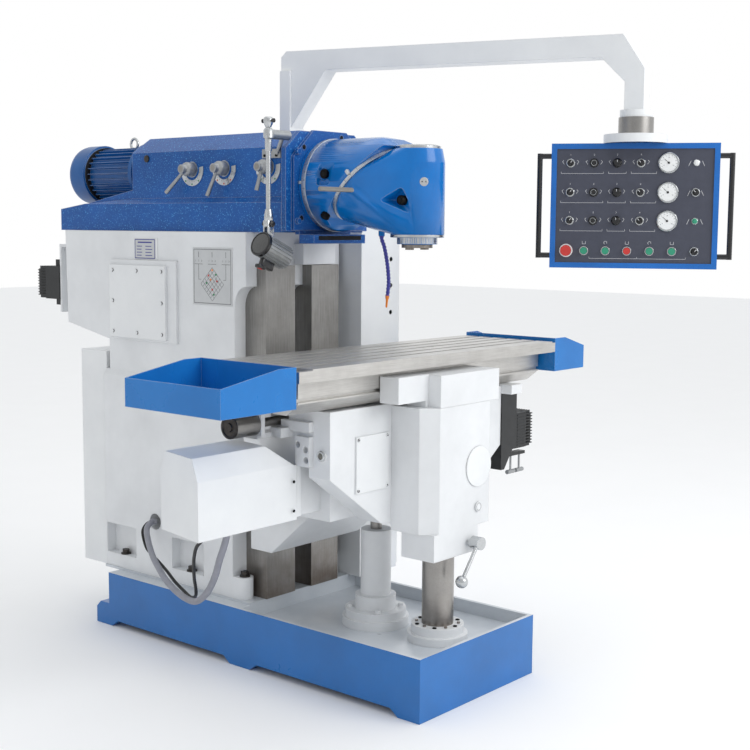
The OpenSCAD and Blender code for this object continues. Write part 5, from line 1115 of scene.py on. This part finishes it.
# %% Lamp cheeks and switch
LAMP_Y = -100
PIN_X, PIN_Z, PIN_R = -358, 1931, 8.9
CHEEK_GAP, CHEEK_HALF = 12, 4
CHEEK_X, CHEEK_Z = (-376, -340), (1862, 1948)
SWITCH_HOUSING = (-20, -34, -13), (50, 4, 13)
SWITCH_FOOT = (26, -46, -15), (64, -30, 15)
ROCKER = (34, -47.5, -8), (54, -45.5, 8)
LAMP_KNOB = [(0, 0), (13, 0), (13, 5), (7, 8), (7, 12), (0, 13)]
BELOW = Vector((0.397, 0, 0.918))       # the way from the switch up to the drum
for s in BOTH_SIDES:
    near, far = (LAMP_Y + s * CHEEK_GAP + half for half in (-CHEEK_HALF, CHEEK_HALF))
    block(lamp, (CHEEK_X[0], near, CHEEK_Z[0]), (CHEEK_X[1], far, CHEEK_Z[1]), edge=4)
bar(lamp, (PIN_X, LAMP_Y - 22, PIN_Z), (PIN_X, LAMP_Y + 22, PIN_Z), PIN_R, sides=32, edge=1)
mark(lamp, 3)
for s in BOTH_SIDES:
    turned(lamp, (PIN_X, LAMP_Y + s * 20, PIN_Z), Y * s, LAMP_KNOB, steps=24)
switch = frame_at(DRUM - BELOW * 50, AIM, BELOW)
block(lamp, *SWITCH_HOUSING, edge=5, turn=switch)
block(lamp, *SWITCH_FOOT, edge=4, turn=switch)
mark(lamp, 1)
block(lamp, *ROCKER, edge=0.8, turn=switch)
mark(lamp, 4)
piece("lamp_drum", lamp, [CAST_ALUMINIUM, BLACK_PLASTIC, LENS, CHROME, ROCKER_RED], "lamp", ["lamp_head"],
      smooth=35)

# %% [markdown]
# A bright rod with three turned collars carries the lamp. Flat round bosses close the two joints, and
# two black knobs clamp the upper one.

# %% Lamp rod
ELBOW_Z, ROD_TOP = 2300, 2352
ROD_KNOB = [(0, 0), (6, 0), (6, 8), (9, 9), (9, 14), (0, 15)]
COLLARS = ((PIN_Z, [(0, 12), (17, 12), (19, 16), (19, 34), (14, 60), (11.5, 62), (0, 62)]),
           (ELBOW_Z, [(0, -70), (14, -70), (15, -66), (15, -22), (21, -16), (21, 16), (13, 26), (0, 26)]),
           (ROD_TOP, [(0, -24), (12, -24), (20, -8), (21, 4), (19, 14), (14, 18), (0, 18)]))
bm = bmesh.new()
bar(bm, (PIN_X, LAMP_Y, 1938), (PIN_X, LAMP_Y, ROD_TOP), 11, sides=RIM_SIDES)
for z, profile in COLLARS:
    turned(bm, (PIN_X, LAMP_Y, z), Z, profile, steps=RIM_SIDES)
bar(bm, (PIN_X, LAMP_Y - 11, PIN_Z), (PIN_X, LAMP_Y + 11, PIN_Z), 20, sides=RIM_SIDES, edge=2)
bar(bm, (PIN_X - 11, LAMP_Y, ELBOW_Z), (PIN_X + 11, LAMP_Y, ELBOW_Z), 20, sides=RIM_SIDES, edge=2)
mark(bm, 0)
for s in BOTH_SIDES:
    turned(bm, (PIN_X, LAMP_Y + s * 19, ROD_TOP + 2), Y * s, ROD_KNOB, steps=24)
mark(bm, 1)
piece("lamp_rod", bm, [CHROME, BLACK_PLASTIC], "lamp_strut", ["lamp_arm"], smooth=40)

# %% [markdown]
# ## Ram fittings
# Five cap screws sit sunk in the ring plate at the front of the ram. Each gets a rim, a dark ground of
# painted shade for its bore, and its head. Three hexagon plugs close the top, a round plug closes the
# filler of the gear housing, two small screws hold the lamp's bracket, and a thin strip of painted
# shade stands for the slot under the ring plate.

# %% Ram fittings
RING_PLATE_Y = -120.2
RING_PLATE_SCREWS = ((-166, 2256), (-181, 1957), (72, 2306), (181, 1957), (166, 2256))      # x and z
TOP_PLUG_YS, RAM_TOP_Z = (700, 420, 140), 2328
FILLER_Y, FILLER_Z = 822, 2229.6
BRACKET_X, BRACKET_YS, BRACKET_SCREW_Z = -251, (-40, 30), 2220
SLOT = (-149, -192, 1864), (123, -190.8, 1882)
bm = bmesh.new()
for x, z in RING_PLATE_SCREWS:
    place = frame_at((x, RING_PLATE_Y, z), X, Z)
    at = place.translation
    turned(bm, at, -Y, [(10.5, 0), (15, 0), (15, 1.0), (10.5, 1.0), (10.5, 0)], steps=32)
    mark(bm, 2)
    bar(bm, at, at - Y * 0.5, 10.8, sides=32)
    mark(bm, 1)
    socket_screw(bm, place, 8.5, 2.2)
for y in TOP_PLUG_YS:
    turned(bm, (0, y, RAM_TOP_Z), Z, [(0, -2), (17, -2), (17, 8), (15, 10), (0, 10)], steps=6)
mark(bm, 0)
filler = [(0, -2), (16, -2), (16, 6), (13, 8), (0, 8)]
turned(bm, (HUB_X, FILLER_Y, FILLER_Z), -X, filler, steps=RIM_SIDES)
mark(bm, 3)
for y in BRACKET_YS:
    socket_screw(bm, frame_at((BRACKET_X, y, BRACKET_SCREW_Z), -Y, Z), 6, 4)
block(bm, *SLOT)
mark(bm, 1)
piece("ram_fittings", bm, [BLACK_OXIDE, PAINTED_HOLE_SHADE, RAM_BLUE, DARK_STEEL], "ram_slide")
print("upper half dressed")

# %% [markdown]
# ## Control panel: one shell, five finishes
# Frame, face, grips, flange and turret are one CAD node. New parts over it would hide it; instead each
# of its faces gets its finish by where it lies, measured from the middle of the panel.

# %% Panel finishes
PANEL_BLUE = enamel("panel_frame_blue", "#1F6FC4", "#1B62AE", 0.35, 3.0, 0.05, 60, edge=1.0,
                    edge_highlight=0.1, coat=0.3)
RIGHT, OUT = Vector((0.48022, -0.87715, 0)), Vector((-0.87715, -0.48022, 0))
MIDDLE = Vector((962.65, -1068.37, 2021))
FACE, FRAME, GRIPS, FLANGE, TURRET = range(5)
PANEL_TOP, FLANGE_TOP = 275.5, 317          # all in millimetres from the middle of the panel
FRAME_SIDE, FRAME_OUT = 366, 36             # what lies farther out is a grip
FACE_HALF_W, FACE_HALF_H = 340.5, 250.5
FACE_BACK, FACE_FRONT = -6, 34


def panel_finish(across, out, up):
    """Which finish a face of the panel's node has, from the place of its middle."""
    if up > PANEL_TOP:
        return TURRET if up > FLANGE_TOP else FLANGE
    if abs(across) > FRAME_SIDE or out > FRAME_OUT:
        return GRIPS
    inside = abs(across) < FACE_HALF_W and abs(up) < FACE_HALF_H and FACE_BACK < out < FACE_FRONT
    return FACE if inside else FRAME


shell = NODES["control_panel"].data
shell.materials.clear()
for finish in (PANEL_FACE, PANEL_BLUE, BLACK_PLASTIC, WHITE_SHEET, TURNED_STEEL):
    shell.materials.append(finish)
for face in shell.polygons:
    c = face.center * 1000 - MIDDLE
    face.material_index = panel_finish(c.dot(RIGHT), c.dot(OUT), c.z)
print("panel faces:", len(shell.polygons))

# %% [markdown]
# ## Knobs on the panel
# The face carries three rows of six controls and one row of buttons. Their places are shares of the
# panel's width and height, read from the photo. A knob is a bright ring, a turned cap and, on a
# selector, a grip bar with a white line; one function makes them all.

# %% Places on the panel and one knob
PANEL_W, PANEL_H, FACE_OUT = 730, 550, 29
COLS = (0.116, 0.258, 0.396, 0.537, 0.70, 0.863)
ROWS = (0.156, 0.39, 0.617)
BUTTON_ROW = 0.86
BUTTONS = (0.207, 0.337, 0.466, 0.60, 0.733)
STOP_COL, CORNER_COL = 0.099, 0.865


def on_panel(share_x, share_z):
    """A place on the panel's face, by its shares of the width and, from the top, of the height."""
    at = MIDDLE + RIGHT * (share_x - 0.5) * PANEL_W + Z * (275 - share_z * PANEL_H) + OUT * FACE_OUT
    return frame_at(at, RIGHT, Z)


def spun(place, degrees):
    """The same place, turned in its own face."""
    return place @ Matrix.Rotation(math.radians(degrees), 4, "Z")


def knob(bm, place, ring, cap, height, ring_finish, cap_finish, line_finish=None):
    at, out = place.translation, place.to_3x3() @ Z
    rim = [(0, 0), (ring, 0), (ring, 4), (ring - 2, 6), (ring - 5, 6), (ring - 5.5, 4), (0, 4)]
    turned(bm, at, out, rim, steps=RIM_SIDES)
    mark(bm, ring_finish)
    body = [(0, 4), (cap + 3, 4), (cap + 3, 8), (cap, 9), (cap - 1.5, height - 1.5), (cap - 3, height),
            (0, height)]
    turned(bm, at, out, body, steps=RIM_SIDES)
    mark(bm, cap_finish)
    if line_finish is not None:
        top = height + 7
        block(bm, (-cap * 0.34, -cap - 2, 9), (cap * 0.34, cap + 2, top), edge=1.6, turn=place)
        mark(bm, cap_finish)
        stroke(bm, moved(place, z=top), (0, 2), (0, cap + 1), 2.4, 0.5)
        mark(bm, line_finish)


print("panel rows at", [round(on_panel(0.5, row).translation.z) for row in ROWS], "mm")

# %% [markdown]
# A meter is a chromed rim, a white dial, eleven marks and a needle. Ring and dial are separate shapes
# that don't share a face: where two faces lie in one plane, the render shows a dark patch.

# %% Meter
RING_FIN, CAP_FIN, LINE_FIN, DIAL_FIN, GREEN_FIN = range(5)      # chrome, black, white print, dial, green
METER_RIM = [(38, 0), (45, 0), (46, 2), (46, 7), (43, 10), (39, 10), (38, 8.6), (38, 0)]
DIAL_TOP = 7.8


def meter(bm, place):
    at = place.translation
    turned(bm, at, OUT, METER_RIM, steps=64)
    mark(bm, RING_FIN)
    turned(bm, at, OUT, [(0, 0), (37.9, 0), (37.9, DIAL_TOP), (0, DIAL_TOP)], steps=64)
    mark(bm, DIAL_FIN)
    face = moved(place, z=DIAL_TOP)
    for k in range(11):
        t = 210 - 24 * k
        stroke(bm, face, on_circle(30, t), on_circle(35, t), 1.2)
        if k % 5 == 0:
            letters(bm, str(k * 2), 5, moved(face, *on_circle(23, t)))
    stroke(bm, face, (0, 0), (-19, 17), 1.6, 0.8)
    turned(bm, face.translation, OUT, [(0, -0.2), (5, -0.2), (5, 2.4), (0, 3)], steps=20)
    mark(bm, CAP_FIN)


print("a meter has 11 marks")

# %% [markdown]
# Each row holds a selector, a potentiometer with a bright inner ring, a step switch, a second selector
# and a meter. The last column has a lamp, a selector and a green lamp.

# %% Panel controls
SELECTOR, POTENTIOMETER, PILOT_LAMP = (20, 12, 16), (20, 12, 18), (15, 9, 12)   # ring, cap and height
SIDE_SELECTOR, CORNER_SELECTOR = (19, 12, 16), (20, 13, 16)
STEP_SWITCH = [(0, 0), (21, 0), (21, 4), (17, 8), (16, 26), (14, 28), (0, 28)]
bm = bmesh.new()
for row in ROWS:
    knob(bm, spun(on_panel(COLS[0], row), -35), *SELECTOR, RING_FIN, CAP_FIN, LINE_FIN)
    knob(bm, spun(on_panel(COLS[3], row), 40), *SELECTOR, RING_FIN, CAP_FIN, LINE_FIN)
    potentiometer = on_panel(COLS[1], row)
    knob(bm, potentiometer, *POTENTIOMETER, CAP_FIN, CAP_FIN)
    inner_ring = [(10.8, 17), (12.4, 17), (12.4, 19), (10.8, 19), (10.8, 17)]
    turned(bm, potentiometer.translation, OUT, inner_ring, steps=32)
    mark(bm, RING_FIN)
    step_switch = on_panel(COLS[2], row)
    turned(bm, step_switch.translation, OUT, STEP_SWITCH, steps=28)
    mark(bm, CAP_FIN)
    stroke(bm, moved(step_switch, z=28), (0, 3), (0, 13), 2.4, 0.5)
    mark(bm, LINE_FIN)
    meter(bm, on_panel(COLS[4], row))
knob(bm, on_panel(COLS[5], ROWS[0]), *PILOT_LAMP, RING_FIN, DIAL_FIN)
knob(bm, spun(on_panel(COLS[5], ROWS[1]), 45), *SIDE_SELECTOR, RING_FIN, CAP_FIN, LINE_FIN)
knob(bm, on_panel(COLS[5], ROWS[2]), *PILOT_LAMP, RING_FIN, GREEN_FIN)
knob(bm, spun(on_panel(CORNER_COL, BUTTON_ROW), -45), *CORNER_SELECTOR, RING_FIN, CAP_FIN, LINE_FIN)
piece("panel_controls", bm, [CHROME, BLACK_PLASTIC, PRINT_WHITE, DIAL_WHITE, GREEN_CAP], "panel",
      ["panel_dials"], smooth=40)

# %% [markdown]
# The buttons move, so they stay the CAD nodes of their own bodies. What is still to add is the collar
# round each, on the panel's body. Its bore comes from the size of its button in the frame, with a
# little air.

# %% Button collars
COLLAR_W, BUTTON_AIR, STOP_AIR = 5, 1.0, 0.6


def cap_radius(node):
    """Half the height of a round cap, in millimetres."""
    low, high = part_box(node)
    return (high.z - low.z) * 500


bm = bmesh.new()
for number, share in enumerate(BUTTONS, 1):
    r = cap_radius("button_%d" % number) + BUTTON_AIR
    collar = [(r, 0), (r + COLLAR_W, 0), (r + COLLAR_W, 3), (r + 3.5, 5), (r, 5), (r, 0)]
    turned(bm, on_panel(share, BUTTON_ROW).translation, OUT, collar, steps=RIM_SIDES)
mark(bm, 0)
r = cap_radius("emergency_stop") + STOP_AIR
collar = [(r, 0), (r + COLLAR_W, 0), (r + COLLAR_W, 0.8), (r, 0.8), (r, 0)]
turned(bm, on_panel(STOP_COL, BUTTON_ROW).translation, OUT, collar, steps=RIM_SIDES)
mark(bm, 1)
piece("button_collars", bm, [CHROME, DIAL_WHITE], "panel", smooth=40)

# %% [markdown]
# White print groups the controls: a bracket over each group, a small bent mark on either side of a
# knob, and a plain number. The signs over the buttons are an arc or an open box, which say nothing.

# %% Panel print
THIN_INK, BRACKET_LINE, SIGN_LINE = 0.3, 1.3, 1.6
BRACKET_Z, STOP_BRACKET_Z, BRACKET_DROP = -46, -34, 8
GROUPS = ((0.06, 0.315), (0.345, 0.45), (0.48, 0.63))


def print_line(bm, place, start, end, width):
    stroke(bm, place, start, end, width, THIN_INK)


def across_panel(share):
    return (share - 0.5) * PANEL_W


bm = bmesh.new()
for row in ROWS:
    base = on_panel(0.5, row)
    for a, b in GROUPS:
        print_line(bm, base, (across_panel(a), BRACKET_Z), (across_panel(b), BRACKET_Z), BRACKET_LINE)
        for end in (a, b):
            x = across_panel(end)
            print_line(bm, base, (x, BRACKET_Z), (x, BRACKET_Z + BRACKET_DROP), BRACKET_LINE)
    for col in range(4):
        x = across_panel(COLS[col])
        for s in BOTH_SIDES:
            print_line(bm, base, (x + s * 28, -6), (x + s * 36, 6), SIGN_LINE)
            print_line(bm, base, (x + s * 36, 6), (x + s * 30, 12), SIGN_LINE)
        letters(bm, str(col + 1), 8, moved(base, x, 36), THIN_INK)
    x = across_panel(COLS[5])
    print_line(bm, base, (x - 34, -14), (x - 24, 8), 1.8)
    print_line(bm, base, (x + 24, 8), (x + 34, -14), 1.8)
base = on_panel(0.5, BUTTON_ROW)
for number, share in enumerate(BUTTONS):
    x = across_panel(share)
    sign = [(x - 7, 42), (x - 7, 30), (x + 7, 30), (x + 7, 42)]
    if number % 2:
        sign = [(x + dx, 36 + dz) for dx, dz in (on_circle(7, t) for t in range(-30, 241, 45))]
    for start, end in zip(sign, sign[1:]):
        print_line(bm, base, start, end, SIGN_LINE)
print_line(bm, base, (-190, STOP_BRACKET_Z), (230, STOP_BRACKET_Z), BRACKET_LINE)
for x in (-190, 20, 230):
    print_line(bm, base, (x, STOP_BRACKET_Z), (x, STOP_BRACKET_Z + BRACKET_DROP), BRACKET_LINE)
mark(bm, 0)
piece("panel_prints", bm, [PRINT_WHITE], "panel")

# %% [markdown]
# ## Column: cover screws
# Eight cap screws hold the square cover of the column. They stand on a grid of three by three with the
# middle one left out.

# %% Cover screws
COVER_X = -325.2
COVER_YS, COVER_ZS = (626, 801.5, 977), (1422, 1566.5, 1711)
bm = bmesh.new()
for y in COVER_YS:
    for z in COVER_ZS:
        if (y, z) != (COVER_YS[1], COVER_ZS[1]):
            socket_screw(bm, frame_at((COVER_X, y, z), -Y, Z), 8, 3)
piece("cover_screws", bm, [BLACK_OXIDE, PAINTED_HOLE_SHADE], "base")

# %% [markdown]
# ## Column: chart and data plate
# Two printed plates are riveted to the column. The chart has a diamond grid of thin lines under three
# groups of digits; the data plate has rows of short bars in place of words. Both are a thin block with
# strokes on its face.

# %% Chart
COLUMN_FACE_X, PLATE_SHEET = -302.2, 0.6
CHART_HALF, CHART_FRAME = 127, 119


def closed_line(face, half_w, half_h, width):
    """A printed frame round the middle of a face."""
    corners = [(-half_w, -half_h), (half_w, -half_h), (half_w, half_h), (-half_w, half_h)]
    for start, end in zip(corners, corners[1:] + corners[:1]):
        stroke(bm, face, start, end, width)


bm = bmesh.new()
chart = frame_at((COLUMN_FACE_X, 307.5, 1698.5), -Y, Z)
block(bm, (-CHART_HALF, -CHART_HALF, 0), (CHART_HALF, CHART_HALF, PLATE_SHEET), turn=chart)
mark(bm, 0)
face = moved(chart, z=PLATE_SHEET)
closed_line(face, CHART_FRAME, CHART_FRAME, 2)
for x in (-88, 0, 88):
    stroke(bm, face, (x, 108), (x, 84), 2)
    for k in (-1, 0, 1):
        letters(bm, str(k + 2), 8, moved(face, x + k * 20, 68))
    stroke(bm, face, (x - 26, 54), (x + 26, 54), 1.6)
for s in BOTH_SIDES:
    stroke(bm, face, (s * 88, 54), (s * 88, -14), 1.6)
    stroke(bm, face, (s * 88, -14), (s * 72, -14), 1.6)
GRID_LINES, GRID_HALF, GRID_TOP = 7, 74, 40
for k in range(GRID_LINES):
    t = k / (GRID_LINES - 1) * GRID_HALF
    for s in BOTH_SIDES:
        stroke(bm, face, (s * t, GRID_TOP - t), (s * (t - GRID_HALF), GRID_TOP - GRID_HALF - t), 1.2)
mark(bm, 1)
CHART_DOTS = ((2, ((-24, 4), (30, -20), (0, -58))), (3, ((24, 8), (-36, -30), (10, -80))),
              (4, ((0, 28), (-10, -14))))       # a finish and its spots
for finish, spots in CHART_DOTS:
    for spot in spots:
        dot(bm, face, spot, 5)
    mark(bm, finish)
print("chart:", len(bm.faces), "faces")

# %% [markdown]
# The data plate is made in the same way, with a wider border and two columns of bars.

# %% Data plate
DATA_W, DATA_H, BORDER = 74, 47, 4      # half sizes, and the border that stays free
data = frame_at((COLUMN_FACE_X, 765, 1813), -Y, Z)
block(bm, (-DATA_W, -DATA_H, 0), (DATA_W, DATA_H, PLATE_SHEET), turn=data)
mark(bm, 0)
face = moved(data, z=PLATE_SHEET)
closed_line(face, DATA_W - BORDER, DATA_H - BORDER, 3.4)
stroke(bm, face, (-50, 30), (50, 30), 6)
for k, z in enumerate((12, -2, -16, -30)):
    stroke(bm, face, (-58, z), (-20 - 4 * (k % 2), z), 3.4)
    stroke(bm, face, (4, z), (46 + 6 * (k % 2), z), 3.4)
mark(bm, 5)
piece("plates", bm, [PLATE_SILVER, PRINT_DARK, PRINT_RED, PRINT_GREEN, NOZZLE_ORANGE, PRINT_BLUE], "base")

# %% [markdown]
# ## Knee: small turned parts
# The photo shows screws at the corners of the knee's plate, two on the hood, a round cover disc and
# two oil sights on the gearbox, and the coupling at the hood's end. All are spun outlines; a sight is a
# chromed rim with a pane of tinted glass in it.

# %% Knee fittings
KNEE_PLATE_Y, GEARBOX_Y = -652.4, -848.3
PLATE_XS, PLATE_ZS = (-412, -238), (885, 1087)
HOOD_X, HOOD_Y, HOOD_ZS = -620, -497.5, (932, 816)
DISC_X, DISC_Z = 118, 937
SIGHTS = (((DISC_X, GEARBOX_Y, 766), -Y), ((-580.2, -607, 1041), -X))       # place and way out
COUPLING_PLACE = (-842.2, -375, 1158)
DISC_PROFILE = [(0, 0), (85, 0), (85, 1.2), (83, 2.2), (8, 2.2), (7, 1.4), (0, 1.4)]
SIGHT_RIM = [(0, 0), (21, 0), (21, 5), (18, 8), (13, 8), (12, 5), (0, 5)]
COUPLING = [(0, 0), (44, 0), (45, 2), (45, 6), (37, 8), (34, 4), (18, 4), (16, 9), (0, 9)]
bm = bmesh.new()
for z in PLATE_ZS:
    for x in PLATE_XS:
        socket_screw(bm, frame_at((x, KNEE_PLATE_Y, z), X, Z), 7, 3)
for z in HOOD_ZS:
    socket_screw(bm, frame_at((HOOD_X, HOOD_Y, z), X, Z), 6, 3)
turned(bm, (DISC_X, GEARBOX_Y, DISC_Z), -Y, DISC_PROFILE, steps=96)
mark(bm, 2)
for at, out in SIGHTS:
    turned(bm, at, out, SIGHT_RIM, steps=48)
    mark(bm, 3)
    turned(bm, at, out, [(0, 5), (12, 5), (12, 5.6), (0, 5.8)], steps=48)
    mark(bm, 4)
turned(bm, COUPLING_PLACE, -X, COUPLING, steps=64)
mark(bm, 5)
piece("knee_fittings", bm, [BLACK_OXIDE, PAINTED_HOLE_SHADE, TURNED_STEEL, CHROME, SIGHT_GLASS, DARK_STEEL],
      "knee_unit", smooth=40)

# %% [markdown]
# ## Support column
# The round column under the knee is ground steel on a painted foot. Both are one CAD node, so the faces
# below the top of the foot get the paint. Six cap screws hold the foot of the front column.

# %% Support column
FOOT_TOP = 0.2755       # metres, as the node's faces are
FOOT_SCREWS, FOOT_SCREW_RING, FOOT_Y, FOOT_SCREW_Z = 6, 92, -737, 274.2
rod = NODES["support_column"].data
rod.materials.clear()
for finish in (COLUMN_STEEL, WHITE_CAST):
    rod.materials.append(finish)
for face in rod.polygons:
    face.material_index = int(face.center.z < FOOT_TOP)
bm = bmesh.new()
for k in range(FOOT_SCREWS):
    a = math.tau * (k + 0.5) / FOOT_SCREWS
    at = (FOOT_SCREW_RING * math.cos(a), FOOT_Y + FOOT_SCREW_RING * math.sin(a), FOOT_SCREW_Z)
    socket_screw(bm, frame_at(at, X, Y), 9, 4)
piece("column_foot_screws", bm, [BLACK_OXIDE, PAINTED_HOLE_SHADE], "base")

# %% [markdown]
# ## Ribs of the servo motors
# The bodies of servo motors are square and ribbed to shed their heat. The ribs are plain bars that stand
# two millimetres proud of the CAD body on its four long sides.

# %% Servo ribs
RIB_W, RIB_PITCH, RIB_MARGIN, RIB_PROUD = 5, 14, 12, 2


def ribs(name, lo, hi, along, body):
    """Bars on the four sides of a box that run along one of its axes."""
    bm = bmesh.new()
    lo, hi = Vector(lo), Vector(hi)
    others = [i for i in range(3) if i != along]
    for out, across in (others, others[::-1]):
        count = int((hi[across] - lo[across] - 2 * RIB_MARGIN) / RIB_PITCH)
        for n in range(count + 1):
            a, b = lo.copy(), hi.copy()
            a[across] = lo[across] + RIB_MARGIN + n * RIB_PITCH
            b[across] = a[across] + RIB_W
            a[along] += RIB_MARGIN
            b[along] -= RIB_MARGIN
            a[out] -= RIB_PROUD
            b[out] += RIB_PROUD
            block(bm, a, b)
    piece(name, bm, [SERVO_BLACK], body)


ribs("lift_motor_ribs", (760, -600, 900), (905, -440, 1066), 0, "knee_unit")
ribs("ram_motor_ribs", (-217, 1580, 1548), (-57, 1735, 1708), 1, "base")

# %% [markdown]
# ## Cabinet door
# The far side can't be seen in the photo, so the door has only what such a door always has: two locks
# and two groups of vent slats, each a bevelled bar that stands proud of the sheet.

# %% Door fittings
DOOR_X = 610.5
LOCK, LOCK_Y, LOCK_ZS = ((0, -22, 0), (5, 22, 12)), 20, (700, 1500)
SLATS, SLAT_PITCH, SLAT_H, SLAT_OUT, SLAT_YS, LOWEST_SLATS = 8, 26, 10, 5.5, (220, 460), (420, 1620)
bm = bmesh.new()
for z in LOCK_ZS:
    block(bm, *LOCK, edge=2, turn=frame_at((DOOR_X + 1, LOCK_Y, z), Z, X))
for n in range(SLATS):
    for lowest in LOWEST_SLATS:
        z = lowest + n * SLAT_PITCH
        block(bm, (DOOR_X, SLAT_YS[0], z), (DOOR_X + SLAT_OUT, SLAT_YS[1], z + SLAT_H), edge=1.5)
piece("door_fittings", bm, [WHITE_SHEET], "door")
print("lower half and panel dressed")
